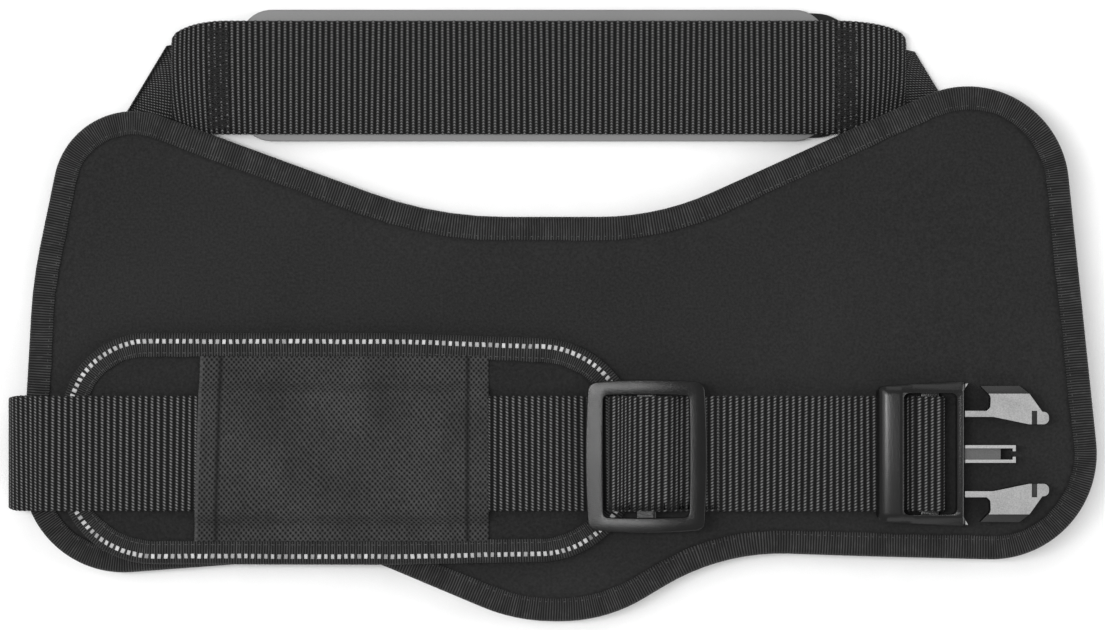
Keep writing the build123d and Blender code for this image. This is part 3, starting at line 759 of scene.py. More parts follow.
def strap(name, line, side, width, thickness, material, rib=RIB, relief=0.3, reach=None,
          front=None, rear=None, bow=None, shear=None, squeeze=None, seed=1, uv_start=0.0):
    """Webbing along a line of points, side being the unit vector across it.
    A point is line(s) + side * a + normal * n, where (a, n) runs round a bar with round edges.
    s covers reach; front and rear give the two edges' distances from the line as functions of s;
    bow shifts a point along the line by bow(s) * share^2, share being a / half width, and shear
    by shear(s) * share; squeeze(s) gives the distance that the ribs are counted by. relief is a
    rib's height, taken from the thickness."""
    side = np.array(side, float)
    total = lengths(line)[-1]
    first, last = reach or (0.0, total)
    half = width / 2
    samples = max(3, int((last - first) / (rib / 7 if rib else 1.4)))
    s = np.linspace(first, last, samples)
    radius = thickness / 2
    flat = np.linspace(half - radius, radius - half, FLAT_COLUMNS)
    a = np.concatenate([flat[::-1][:-1], half - radius + radius * np.cos(EDGE_ANGLES),
                        flat[1:-1], radius - half - radius * np.cos(EDGE_ANGLES[::-1])])
    n = np.concatenate([np.full(FLAT_COLUMNS - 1, radius), radius * np.sin(EDGE_ANGLES),
                        np.full(FLAT_COLUMNS - 2, -radius), radius * np.sin(EDGE_ANGLES[::-1])])
    out_a = np.where(np.abs(a) > half - radius, (np.abs(a) - half + radius) / radius, 0) * np.sign(a)
    out_n = np.where(np.abs(a) > half - radius, n / radius, np.sign(n))
    counted = squeeze(s) if squeeze else s + 0.25 * drift(s, 90, seed)
    swell = 0.5 + 0.5 * np.cos(2 * math.pi * counted / rib) if rib else np.ones(samples)
    height = relief * (swell ** 0.7 - 1)
    share = a / half
    front_edge = (front(s) if front else np.full(samples, half))[:, None]
    rear_edge = (rear(s) if rear else np.full(samples, -half))[:, None]
    middle, spread = (front_edge + rear_edge) / 2, (front_edge - rear_edge) / 2
    across = middle + spread * share + height[:, None] * out_a
    shift = (bow(s)[:, None] if bow else 0.0) * share ** 2
    shift = shift + (shear(s)[:, None] if shear else 0.0) * share
    inside = np.minimum(1, np.minimum(s - first, last - s) / 6)
    lean = 0.35 * (drift(s, 130, seed + 7) * inside)[:, None] * share
    where = np.clip(s[:, None] + shift + lean, 0, total)
    centre = at(line, where)
    before, after = at(line, np.clip(s - 0.3, 0, total)), at(line, np.clip(s + 0.3, 0, total))
    tangent = (after - before) / np.linalg.norm(after - before, axis=1)[:, None]
    normal = np.cross(side, tangent)
    depth = n + height[:, None] * out_n
    points = centre + across[..., None] * side + depth[..., None] * normal[:, None]
    uv = np.stack([np.broadcast_to(counted[:, None] + uv_start, across.shape), across], axis=-1)
    return skin(name, points, uv, material)


def upright(points, radii, y=STRAP_Y):
    """A rounded line in a plane across the harness, from (x, z) corners."""
    line = rounded(points, radii)
    return np.stack([line[:, 0], np.full(len(line), y), line[:, 1]], axis=1)


def level(start, end, z):
    """A straight line along the belly strap, from one x to another."""
    return upright([(start, z), (end, z)], [0, 0])


def lengthwise(points, radii):
    """A rounded line in the plane that runs along the back, from (y, z) corners."""
    line = rounded(points, radii)
    return np.stack([np.zeros(len(line)), line[:, 0], line[:, 1]], axis=1)


def spot(x, z, y=STRAP_Y):
    """A point in metres, on the belly strap's middle line unless y is given."""
    return (x * MM, y * MM, z * MM)


ACROSS, ALONG = (0, 1, 0), (1, 0, 0)

# %% [markdown]
# ## Straps on the outer side
# The cross strap is sewn under the saddle and the belly strap continues it, so the fold at the
# left edge is a half turn that joins the two.

# %% Cross strap and fold
fold_low, fold_high = box("strap_fold")
cross_low, cross_high = box("cross_strap")
FOLD_MIDDLE = fold_low[0] + PLY / 2
FOLD_END = fold_high[0]
RUN = run_low[2] + PLY / 2

cross_webbing = strap("cross_webbing", level(FOLD_END, cross_high[0], CROSS), ACROSS,
                      WEB, PLY, strap_webbing, seed=3)
belongs(cross_webbing, "saddle", "webbing", "cross_strap")

FOLD_RADII = [0, 3.2, 7.4, 0]
fold_corners = [(FOLD_END, CROSS), (FOLD_MIDDLE, CROSS), (FOLD_MIDDLE, RUN), (FOLD_END, RUN)]
fold_line = upright(fold_corners, FOLD_RADII)
fold_total = lengths(fold_line)[-1]
FOLD_CROWD = 1.35            # ribs crowd together where the strap turns
FOLD_DRAW, FOLD_REACH = 0.7, 7.0


def fold_edge(s):
    """Half width that draws in by a round corner where the strap turns at the left edge."""
    turn = np.exp(-((s - fold_total * 0.5) / FOLD_REACH) ** 4)
    return WEB / 2 - FOLD_DRAW * turn


fold_turn = strap("strap_fold_turn", fold_line, ACROSS, WEB, PLY, strap_webbing, seed=4, relief=0.22,
                  front=fold_edge, rear=lambda s: -fold_edge(s), uv_start=-fold_total * FOLD_CROWD,
                  squeeze=lambda s: s * FOLD_CROWD)
belongs(fold_turn, None, "webbing", "strap_fold")
spot(FOLD_MIDDLE, CROSS + 2)
spot(FOLD_MIDDLE, RUN - 2)
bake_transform(fold_turn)

# %% [markdown]
# ## Belly strap
# The main run lies flat through the pad's sleeve. From the adjuster on, the strap is double: one
# layer goes to the buckle's bar, round it, and comes back to the adjuster's bar, where it is sewn.

# %% Belly strap and its loop
belly_run = strap("belly_strap_run", level(FOLD_END, run_high[0], RUN), ACROSS, WEB, PLY,
                  strap_webbing, seed=5)
belongs(belly_run, "belly_strap", "webbing", "belly_webbing")

low_low, low_high = box("loop_lower")
loop_under = strap("loop_under", level(low_low[0], low_high[0], RUN), ACROSS, WEB, PLY,
                   strap_webbing, seed=6, uv_start=run_high[0] - FOLD_END)
belongs(loop_under, None, "webbing", "loop_lower")
spot(low_low[0], RUN)
spot(low_high[0], RUN)
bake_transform(loop_under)

up_low, up_high = box("loop_upper")
BACK = up_low[2] + PLY / 2
loop_over = strap("loop_over", level(up_high[0], up_low[0], BACK), ACROSS, WEB, PLY,
                  strap_webbing, seed=7)
belongs(loop_over, None, "webbing", "loop_upper")
spot(up_high[0], BACK)
spot(up_low[0], BACK)
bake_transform(loop_over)

# %% Turn round the buckle's bar
wrap_low, wrap_high = box("buckle_wrap")
WRAP_TOP = wrap_high[2] - PLY / 2
WRAP_RIGHT = wrap_high[0] - PLY / 2
WRAP_TURN = (WRAP_TOP - RUN) / 2 - 0.1
WRAP_STEP = wrap_low[0] + 4.0
wrap_corners = [(wrap_low[0], RUN), (WRAP_RIGHT, RUN), (WRAP_RIGHT, WRAP_TOP),
                (WRAP_RIGHT - 11.6, WRAP_TOP), (WRAP_STEP, BACK), (wrap_low[0], BACK)]
wrap_line = upright(wrap_corners, [0, WRAP_TURN, WRAP_TURN, 3, 3, 0])
buckle_wrap = strap("buckle_bar_wrap", wrap_line, ACROSS, WEB, PLY, strap_webbing, seed=8)
belongs(buckle_wrap, "buckle", "webbing", "buckle_wrap")

# %% Sewn end round the adjuster's bar
end_low, end_high = box("strap_end")
adjuster_low, adjuster_high = box("adjuster_frame")
ADJUSTER_X = (adjuster_low[0] + adjuster_high[0]) / 2
ARCH = end_high[2] - PLY / 2
ARCH_TURN = (ARCH - BACK) / 2 - 0.1
ARCH_LEFT = end_low[0] + PLY / 2
end_corners = [(end_high[0], BACK), (ADJUSTER_X + 14.5, BACK), (ADJUSTER_X + 8.5, ARCH),
               (ARCH_LEFT, ARCH), (ARCH_LEFT, BACK), (ADJUSTER_X + 9.0, BACK)]
end_line = upright(end_corners, [0, 2.5, 3, ARCH_TURN, ARCH_TURN, 0])
END_CROWD, CROWD_AT, CROWD_SPREAD = 2.8, 43.0, 3.5


def end_squeeze(s):
    """Ribs crowd together over the bar's left side, where the strap turns down."""
    return s + END_CROWD * (1 + np.tanh((s - CROWD_AT) / CROWD_SPREAD))


strap_end = strap("adjuster_strap_end", end_line, ACROSS, WEB, PLY, strap_webbing, seed=9,
                  squeeze=end_squeeze)
belongs(strap_end, "adjuster", "webbing", "strap_end")

# %% [markdown]
# ## Grab handle, ring tab and socket strap
# Three short pieces of webbing on the outer side. Each follows the line that it has in the frame:
# the handle stands away from the saddle, the tab turns round the leash ring, and the socket strap
# turns round the socket's bar.

# %% Handle
handle_low, handle_high = box("grab_handle")
HANDLE_WIDTH = handle_high[0] - handle_low[0]
CROSS_UNDER = cross_low[2]


HANDLE_FRONT = handle_high[1]
handle_corners = [(HANDLE_FRONT, CROSS), (HANDLE_FRONT - 18, CROSS),
                  (HANDLE_FRONT - 31, PLY / 2), (STRAP_Y + 13, PLY / 2),
                  (STRAP_Y, CROSS_UNDER - PLY / 2), (handle_low[1], CROSS_UNDER - PLY / 2)]
handle_line = lengthwise(handle_corners, [0, 8, 8, 8, 8, 0])
handle = strap("grab_handle_webbing", handle_line, ALONG, HANDLE_WIDTH, PLY, narrow_webbing,
               rib=1.6, relief=0.18, seed=11)
belongs(handle, "saddle", "webbing", "grab_handle")

# %% Ring tab
tab_low, tab_high = box("ring_loop")
ring_low, ring_high = box("leash_ring")
TAB_PLY = 1.6
WIRE = ring_high[2] - ring_low[2]
RING_Z = (ring_high[2] + ring_low[2]) / 2
RING_Y = ring_high[1] - WIRE / 2
RING_TURN = WIRE / 2 + 0.1 + TAB_PLY / 2
TAB_UPPER = tab_high[2] - TAB_PLY / 2
TAB_LOWER = TAB_UPPER - TAB_PLY - 0.2
TAB_BEND = STRAP_Y - WEB / 2 + 3
tab_corners = [(tab_high[1], TAB_UPPER), (TAB_BEND, TAB_UPPER),
               (RING_Y + 4.5, RING_Z + RING_TURN), (RING_Y - RING_TURN, RING_Z + RING_TURN),
               (RING_Y - RING_TURN, RING_Z - RING_TURN), (RING_Y + 4.5, RING_Z - RING_TURN),
               (TAB_BEND, TAB_LOWER), (tab_high[1], TAB_LOWER)]
tab_line = lengthwise(tab_corners, [0, 4, 4, RING_TURN - 0.1, RING_TURN - 0.1, 4, 4, 0])
tab = strap("ring_tab_webbing", tab_line, ALONG, tab_high[0] - tab_low[0], TAB_PLY,
            narrow_webbing, rib=1.6, relief=0.15, seed=12)
belongs(tab, "saddle", "webbing", "ring_loop")

# %% Socket strap
hook_low, hook_high = box("socket_strap")
BAR_TURN = 1.8 + 0.15 + PLY / 2
BAR_X = hook_high[0] - PLY / 2 - BAR_TURN
BAR_Z = box("buckle_socket")[1][2] / 2 - 0.5
hook_corners = [(hook_low[0], CROSS), (BAR_X - 17, CROSS),
                (BAR_X - 8.5, BAR_Z + BAR_TURN), (BAR_X + BAR_TURN, BAR_Z + BAR_TURN),
                (BAR_X + BAR_TURN, BAR_Z - BAR_TURN), (BAR_X - 8.5, BAR_Z - BAR_TURN),
                (BAR_X - 17, CROSS_UNDER - 0.2 - PLY / 2),
                (hook_low[0] + 22, CROSS_UNDER - 0.2 - PLY / 2)]
hook_line = upright(hook_corners, [0, 6, 6, BAR_TURN - 0.1, BAR_TURN - 0.1, 6, 6, 0])
hook = strap("socket_strap_webbing", hook_line, ACROSS, WEB, PLY, strap_webbing, seed=13)
belongs(hook, "saddle", "webbing", "socket_strap")

# %% [markdown]
# ## Chest band
# The band's ribs are closer, and its floats slant both ways from each rib. Its ends turn away over
# the anchors, so its front corners are drawn in and its ribs bow outwards there. The edges are
# functions of the distance along the band.

# %% Chest band
band_low, band_high = box("chest_webbing")
BAND_Y = (band_low[1] + band_high[1]) / 2
BAND_TOP = band_high[2] - PLY / 2
BAND_LEFT, BAND_RIGHT = band_low[0], band_high[0]
band_corners = [(BAND_LEFT + 1, band_low[2] + 0.1), (BAND_LEFT + 1, BAND_TOP),
                (BAND_RIGHT - 1, BAND_TOP), (BAND_RIGHT - 1, band_low[2] + 0.1)]
band_line = upright(band_corners, [0, 3.4, 3.4, 0], BAND_Y)
band_total = lengths(band_line)[-1]
END_TURN = 1.2
FRONT_DROP = 9.0             # how far the front edge is drawn in at the band's ends
FRONT_LEFT, FRONT_RIGHT = 24.5, 29.5
REAR_DROP, REAR_REACH = 3.0, 7.0
RIB_BOW, BOW_REACH = 1.7, 12.0
RIB_CROWD, CROWD_START, CROWD_REACH = 5.0, 4.0, 11.0


def from_ends(s):
    """Distances from the band's left and right ends."""
    return s - END_TURN, band_total - END_TURN - s


def band_front(s):
    """Front edge: half the width, less a quarter ellipse at each end."""
    left, right = from_ends(s)
    drop_left = FRONT_DROP * (1 - np.sqrt(1 - np.clip(1 - left / FRONT_LEFT, 0, 1) ** 2))
    drop_right = FRONT_DROP * (1 - np.sqrt(1 - np.clip(1 - right / FRONT_RIGHT, 0, 1) ** 2))
    return WEB / 2 - drop_left - drop_right


def band_rear(s):
    """Rear edge: a short round corner at each end."""
    left, right = from_ends(s)
    near = np.clip(1 - left / REAR_REACH, 0, 1) ** 2 + np.clip(1 - right / REAR_REACH, 0, 1) ** 2
    return -WEB / 2 + np.minimum(REAR_DROP * near, REAR_DROP)


def band_bow(s):
    """Towards each end, a rib's rear end lies further in than its middle; band_shear keeps the
    front end where it is."""
    left, right = from_ends(s)
    shares = [np.exp(-np.maximum(gap, 0) / BOW_REACH) for gap in (left, right)]
    return RIB_BOW * shares[0] - RIB_BOW * shares[1]


def band_shear(s):
    return -band_bow(s)


def band_squeeze(s):
    """Ribs close up within the last stretch at each end."""
    left, right = from_ends(s)
    near = [np.exp(-((gap + CROWD_START) / CROWD_REACH) ** 2) for gap in (left, right)]
    return s + RIB_CROWD * near[1] - RIB_CROWD * near[0]


BAND_RIB = 2.55
band_webbing = webbing_finish("band_webbing", BAND_RIB, 110, 7, float_pitch=1.25, braided=True)
band = strap("chest_band_webbing", band_line, ACROSS, WEB, PLY, band_webbing, rib=BAND_RIB, seed=14,
             front=band_front, rear=band_rear, bow=band_bow, shear=band_shear, squeeze=band_squeeze)
belongs(band, "chest_band", "webbing", "chest_webbing")

# %% [markdown]
# ## Chest anchors
# Two straps lean out from under the saddle's front corners to the band's ends. They are sewn to
# the saddle and run to the band.

# %% Chest anchors
LEAN = math.radians(31.0)
ANCHOR_SEWN = 24.0
ANCHOR_SPARE = 80.0          # length drawn past the band's edge, more than is cut off
ANCHOR_Z = box("chest_anchor_left")[0][2] + PLY / 2
ANCHOR_LEVEL = 6.0           # the anchor is level from this far behind the band
ANCHOR_BEND = 18.0
GATHER, GATHER_REACH = 17.0, 22.0
FLAP_LIFT = 7.0
BAND_REAR = BAND_Y - WEB / 2
# hand: middle of the anchor at the band's rear edge, the way it leans in x, run over which it
# rises, lift of the saddle's corner, end past the band's middle
anchor_rule = {
    "left": (BAND_LEFT + 3.7, 1, 22.0, 0.0, 14.0),
    "right": (BAND_RIGHT - 3.7, -1, 32.0, FLAP_LIFT, 11.5),
}
for hand, (anchor_x, toward, rise, lift, cut) in anchor_rule.items():
    run = np.array([toward * math.sin(LEAN), math.cos(LEAN), 0])
    side = np.array([run[1], -run[0], 0])
    base = np.array([anchor_x, BAND_REAR + 0.5, 0])
    sewn = -ANCHOR_LEVEL - rise
    flat = rounded([(sewn - ANCHOR_SEWN, CROSS + lift), (sewn, CROSS + lift),
                    (-ANCHOR_LEVEL, ANCHOR_Z), (ANCHOR_SPARE, ANCHOR_Z)],
                   [0, ANCHOR_BEND, ANCHOR_BEND, 0])
    line = base + flat[:, :1] * run + flat[:, 1:] * np.array([0, 0, 1])
    start = lengths(line)[-1] - ANCHOR_SPARE
    reach = start + (BAND_Y + cut - base[1]) / run[1]
    slope = -side[1] * WEB / 2 / run[1]
    bent = ANCHOR_SEWN + rise * 0.6
    gather = lambda s, bent=bent: (
        WEB / 2 - GATHER * np.clip((s - bent) / GATHER_REACH, 0, 1) ** 0.8)
    edges = {"front": gather} if toward > 0 else {"rear": lambda s, gather=gather: -gather(s)}
    anchor = strap(f"anchor_webbing_{hand}", line, side, WEB, PLY, fine_webbing, rib=1.35,
                   relief=0.12, reach=(0, reach), seed=15, **edges,
                   shear=lambda s, slope=slope, reach=reach: slope * (s / reach) ** 2)
    belongs(anchor, None, "webbing", f"chest_anchor_{hand}")
    spot(anchor_x, ANCHOR_Z, BAND_REAR - ANCHOR_LEVEL)
    spot(anchor_x, ANCHOR_Z, BAND_REAR + 4)
    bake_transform(anchor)

# %% [markdown]
# ## How a padded sheet is made
# Saddle, pad, patches and films are all flat bodies with an outline. Rows of points run from the
# middle of the underside out to the rim, round it, and back over the top. On each side the rows
# shrink towards a spine, a line that follows the middle of the shape and stops short of its ends.
# Two opposite points of the outline share one spine point, so the grid closes without a gap.

# %% Slab
RIM_ANGLES = np.radians([0, 22, 45, 68, 90])
SPINE_SHARE = 0.78           # how far towards the outline the spine's points go


def slab_grid(loop, rim, steps):
    """(rows, columns, 2) plan of one face from the rim to the spine, the distance of each point
    from the outline, and each row's share of the rim's height. The first rows lie at
    rim * (1 - cos angle) from the outline, the rest divide what is left by steps, 0 to 1."""
    middle = (loop + np.roll(loop[::-1], 1, 0)) / 2
    centre = loop.mean(0)
    spine = centre + (middle - centre) * SPINE_SHARE
    reach = np.einsum("ij,ij->i", spine - loop, inward(loop))
    reach = np.maximum(reach, 0.5 * np.linalg.norm(spine - loop, axis=1))
    near = rim * (1 - np.cos(RIM_ANGLES))
    share = [d / reach for d in near] + [rim / reach + (1 - rim / reach) * f for f in steps]
    share = np.array(share)
    plan = loop * (1 - share[..., None]) + spine * share[..., None]
    lift = np.concatenate([np.sin(RIM_ANGLES), np.ones(len(steps))])
    return plan, share * reach, lift


def slab(name, loop, low, high, material, rim, steps=(0.02, 0.1, 0.3, 0.6, 1.0)):
    """A closed body between low(x, y, d) and high(x, y, d), d being the distance from the
    outline. Its rim is round: at its half height the body reaches the outline."""
    plan, distance, lift = slab_grid(loop, rim, steps)
    x, y = plan[..., 0], plan[..., 1]
    top, bottom = high(x, y, distance), low(x, y, distance)
    middle = (top + bottom) / 2
    upper = np.dstack([x, y, middle + (top - middle) * lift[:, None]])
    lower = np.dstack([x, y, middle + (bottom - middle) * lift[:, None]])
    points = np.concatenate([lower[::-1][:-1], upper]).transpose(1, 0, 2)
    rows, columns = points.shape[:2]
    i, j = np.meshgrid(np.arange(rows), np.arange(columns - 1), indexing="ij")
    i2 = (i + 1) % rows
    corners = [i * columns + j, i2 * columns + j, i2 * columns + j + 1, i * columns + j + 1]
    made = piece(name, points.reshape(-1, 3), [np.stack([c.ravel() for c in corners], axis=1)],
                 material)
    merged = bmesh.new()
    merged.from_mesh(made.data)
    bmesh.ops.remove_doubles(merged, verts=merged.verts, dist=1e-7)
    merged.to_mesh(made.data)
    merged.free()
    return made


# %% [markdown]
# ## Stitches
# A stitch is a short round thread with blunt ends. Hundreds of them repeat one small shape, so
# each has only a few faces, and all stitches of a seam are one mesh.

# %% Stitches
STITCH_ROWS = np.array([[-0.5, 0.35], [-0.36, 0.9], [0.0, 1.0], [0.36, 0.9], [0.5, 0.35]])
STITCH_SIDES = 6
STITCH_ARCH = 0.3            # how deep a stitch's ends dive


def stitches(name, centres, along, up, length, radius, material):
    """One thread for each centre. A point is centre + along * x * length + (side * sin t +
    up * cos t) * r * radius, less a little of up at both ends, which dive into the cloth."""
    along = along / np.linalg.norm(along, axis=1)[:, None]
    side = np.cross(up, along)
    turn = np.arange(STITCH_SIDES) * 2 * math.pi / STITCH_SIDES
    x, r = STITCH_ROWS[:, 0], STITCH_ROWS[:, 1] * radius
    ring = (np.cos(turn)[None, :, None] * up[:, None, None]
            + np.sin(turn)[None, :, None] * side[:, None, None])
    spot = centres[:, None] + along[:, None] * (x * length)[None, :, None]
    spot = spot - up[:, None] * (STITCH_ARCH * (2 * x) ** 2)[None, :, None]
    points = spot[:, :, None] + ring * r[None, :, None, None]
    rows = len(x)
    quads, _ = grid_faces(rows, STITCH_SIDES, False)
    each = rows * STITCH_SIDES
    shift = (np.arange(len(centres)) * each)[:, None, None]
    ends = np.stack([np.arange(STITCH_SIDES)[::-1], np.arange(STITCH_SIDES) + each - STITCH_SIDES])
    faces = [(quads[None] + shift).reshape(-1, 4), (ends[None] + shift).reshape(-1, STITCH_SIDES)]
    return piece(name, points.reshape(-1, 3), faces, material)


# %% [markdown]
# ## The saddle's outline
# One corner and one radius for each bend, clockwise from the left shoulder. It is the cut line of
# the pattern, so it is kept as the few points that a pattern maker would mark.

# %% Outline and ramp
EDGE = cad_box[1][0] / MM
FRONT = cad_box[1][1] / MM
saddle_corners = [
    (-EDGE + 27.7, FRONT - 32.8, 35), (-50.7, 42.8, 170), (46.0, 42.8, 120),
    (EDGE - 18.6, FRONT - 12.9, 44), (EDGE + 5.17, -107.5, 46), (73.7, -103.2, 100),
    (23.2, -FRONT, 70), (-16.0, -FRONT, 80), (-84.5, -104.7, 60),
    (-EDGE + 2.7, -115.8, 44), (-EDGE + 10.0, 15.0, 200),
]
ramp_line = rounded([(-400, 0), (EDGE - 143.5, 0), (EDGE - 105.5, FLAP_LIFT), (400, FLAP_LIFT)],
                    [0, 150, 150, 0])


def ramp(x):
    """Height that the right flap gains where it rides up over the buckle's socket."""
    return np.interp(x, ramp_line[:, 0], ramp_line[:, 1])


saddle_loop, saddle_round = outline(saddle_corners, 4.5)
start_at = np.argmin(saddle_loop[:, 0] + 0.02 * np.abs(saddle_loop[:, 1]))
saddle_loop = np.roll(saddle_loop, -start_at, 0)
print(f"saddle outline {saddle_round:.0f} mm, {len(saddle_loop)} points")

# %% [markdown]
# ## Saddle panel
# Shell, foam and lining are bonded, so the panel is one padded body. Its seam pulls the lining
# down in a groove along the tape, and the foam swells a little inside that. The swelling is a
# cloth simulation: the mesh is blown up gently with its edge held, the movement is capped, and
# the result is applied. One subdivision then smooths it.

# %% Padding by simulation
INFLATE = 4.0                # pressure inside the padded body
CLOTH_MASS = 0.4
CLOTH_STIFFNESS = 30
SIM_FRAMES = 20


def puff(made, held, most_up, most_down):
    """Blow a closed mesh up with cloth pressure and no gravity, its held vertices pinned. A
    vertex moves by at most most_up or most_down millimetres, straight up or down."""
    mesh = made.data
    rest = np.zeros(len(mesh.vertices) * 3, np.float32)
    mesh.vertices.foreach_get("co", rest)
    rest = rest.reshape(-1, 3)
    group = made.vertex_groups.new(name="held")
    group.add([int(k) for k in np.nonzero(held(rest / MM))[0]], 1.0, "REPLACE")
    cloth = made.modifiers.new("padding", "CLOTH")
    cloth.settings.use_pressure = True
    cloth.settings.uniform_pressure_force = INFLATE
    cloth.settings.vertex_group_mass = "held"
    cloth.settings.effector_weights.gravity = 0
    cloth.settings.quality = 4
    cloth.settings.mass = CLOTH_MASS
    cloth.settings.tension_stiffness = CLOTH_STIFFNESS
    cloth.settings.compression_stiffness = CLOTH_STIFFNESS
    cloth.point_cache.frame_start, cloth.point_cache.frame_end = 1, SIM_FRAMES
    for step in range(1, SIM_FRAMES + 1):
        scene.frame_set(step)
    shaped = made.evaluated_get(bpy.context.evaluated_depsgraph_get()).to_mesh()
    moved = np.zeros_like(rest).ravel()
    shaped.vertices.foreach_get("co", moved)
    rise = (moved.reshape(-1, 3) - rest)[:, 2] / MM
    made.modifiers.remove(cloth)
    made.vertex_groups.remove(group)
    scene.frame_set(1)
    swollen, sunk = (most * np.tanh(rise / most) for most in (most_up, most_down))
    eased = np.where(rise > 0, swollen, sunk)
    rest[:, 2] += (eased * MM).astype(np.float32)
    mesh.vertices.foreach_set("co", rest.ravel())
    mesh.update()
    print(f"{made.name}: puffed by {rise.max():.1f} mm at most, kept to {eased.max():.1f}")


def smooth_skin(made):
    """One subdivision, the same in the view and in the render."""
    subdivide = made.modifiers.new("smooth", "SUBSURF")
    subdivide.levels = subdivide.render_levels = 1


def nearest(points, loop):
    """Distance of each point from a closed outline's points."""
    gap = points[:, None, :2] - loop[None]
    return np.sqrt((gap ** 2).sum(2).min(1))


# %% Saddle panel
PANEL_STEPS = (0.03, 0.06, 0.085, 0.11, 0.15, 0.2, 0.27, 0.36, 0.46, 0.58, 0.72, 0.86, 1.0)
panel_loop = saddle_loop + inward(saddle_loop) * LIP


def panel_top(x, y, d):
    """Lining: level, with a groove under the seam of the tape and a slow unevenness."""
    groove = 0.5 * np.exp(-((d - TAPE + 1.4) / 1.6) ** 2)
    uneven = 0.12 * np.sin(x / 23.0 + 1.3 * np.sin(y / 31.0)) * np.clip(d / 30, 0, 1)
    return UNDER + PANEL + ramp(x) - groove - 0.1 + uneven


def panel_under(x, y, d):
    return UNDER + ramp(x) + 0.1 * np.exp(-((d - TAPE + 1.4) / 1.6) ** 2)


panel = slab("saddle_panel", panel_loop, panel_under, panel_top, lining, rim=2.0,
             steps=PANEL_STEPS)
puff(panel, lambda co: nearest(co, saddle_loop) < TAPE + 1.5, 0.7, 0.25)
belongs(panel, "saddle", "neoprene_lining", "outer_shell", "saddle_foam", "saddle_lining")
smooth_skin(panel)
panel.data.materials.append(shell)
under_faces = np.array([f.normal.z < -0.5 for f in panel.data.polygons])
panel.data.polygons.foreach_set("material_index", under_faces.astype(np.int32))

# %% [markdown]
# ## Edge tape
# The tape is folded over the edge and sewn through. It is a U-shaped profile carried round the
# outline. On bends the tape has too much length on its inner edge, so it puckers there: small
# waves whose height follows the curvature. The inner edge also wanders a little.

# %% Edge tape
SEAM_INSET = 1.6             # from the tape's inner edge to its seam
PROFILE_TURN = np.radians([-90, -60, -30, 0, 30, 60, 90])
LEG = np.array([1.0, 0.94, 0.88, 0.82, 0.7, 0.55, 0.4, 0.27])
TAPE_STEP = 1.1              # spacing of the profiles along the tape
TAPE_PLY = 0.45
TAPE_BULGE = 2.2             # depth of the fold round the edge


def curvature(loop):
    """Turn per millimetre of a closed outline at each point, positive where it is convex."""
    ahead = np.roll(loop, -1, 0) - loop
    heading = np.arctan2(ahead[:, 1], ahead[:, 0])
    turn = np.angle(np.exp(1j * (heading - np.roll(heading, 1))))
    step = np.linalg.norm(ahead, axis=1)
    value = turn / step
    area = np.sum(loop[:, 0] * np.roll(loop[:, 1], -1) - np.roll(loop[:, 0], -1) * loop[:, 1])
    value = value * np.sign(area)
    for _ in range(6):
        value = (np.roll(value, 1) + value + np.roll(value, -1)) / 3
    return value


def tape(name, corners, low, high, lip, seed, pucker):
    """Tape round an outline. The profile goes from the lower inner edge out round the rim to the
    upper inner edge, then back a thickness deeper; (d, z) are the distance from the outline and
    the height. low(x) and high(x) are the faces that it lies on."""
    loop, total = outline(corners, TAPE_STEP)
    normal = inward(loop)
    count = len(loop)
    s = np.arange(count) * total / count
    wander = 1 + 0.03 * drift(s, 55, seed)
    turning = np.abs(curvature(loop))
    wave = drift(s, 9.0, seed + 1, 4) * (0.22 + pucker * turning)
    d_leg = LEG * TAPE
    rim = (high(loop[:, 0]) - low(loop[:, 0])) / 2 + lip
    middle = (high(loop[:, 0]) + low(loop[:, 0])) / 2
    sets = []
    for inner in (0.0, TAPE_PLY):
        fold = TAPE_BULGE + inner - TAPE_BULGE * np.cos(PROFILE_TURN)
        d_out = np.concatenate([d_leg, fold, d_leg[::-1]])
        face = np.concatenate([-np.ones(len(LEG)), np.sin(PROFILE_TURN), np.ones(len(LEG))])
        near = np.concatenate([LEG, np.zeros(len(PROFILE_TURN)), LEG[::-1]])
        seam = 0.3 * np.exp(-((d_out - TAPE + SEAM_INSET) / 0.7) ** 2)
        z = middle[:, None] + (rim[:, None] - inner - seam) * face
        z = z + np.sign(face) * (wave[:, None] * 0.42 * near ** 1.3 - 0.06) * (np.abs(face) > 0.99)
        d = d_out * np.where(near > 0, wander[:, None], 1.0)
        sets.append((d, z, np.cumsum(np.hypot(np.gradient(d_out), np.gradient(z[0])))))
    d = np.concatenate([sets[0][0], sets[1][0][:, ::-1]], axis=1)
    z = np.concatenate([sets[0][1], sets[1][1][:, ::-1]], axis=1)
    v = np.concatenate([sets[0][2], sets[1][2][::-1]])
    plan = loop[:, None] + normal[:, None] * d[..., None]
    points = np.concatenate([plan, z[..., None]], axis=2)
    cords = round(total / CORD) * CORD
    u = np.arange(count + 1) * cords / count
    uv = np.stack(np.broadcast_arrays(u[:, None], v[None]), axis=-1)
    return skin(name, points, uv, edge_tape, wrap_rows=True)


saddle_tape = tape("saddle_tape", saddle_corners, lambda x: UNDER + ramp(x),
                   lambda x: UNDER + PANEL + ramp(x), LIP, seed=21, pucker=9.0)
belongs(saddle_tape, "saddle", "edge_tape", "saddle_binding")

# %% [markdown]
# ## Seams of the tape
# One line of stitches, a hair's breadth inside the tape's inner edge, on both faces.

# %% Seams
STITCH = 2.9
SEAM_STITCH, SEAM_THREAD = 2.0, 0.24


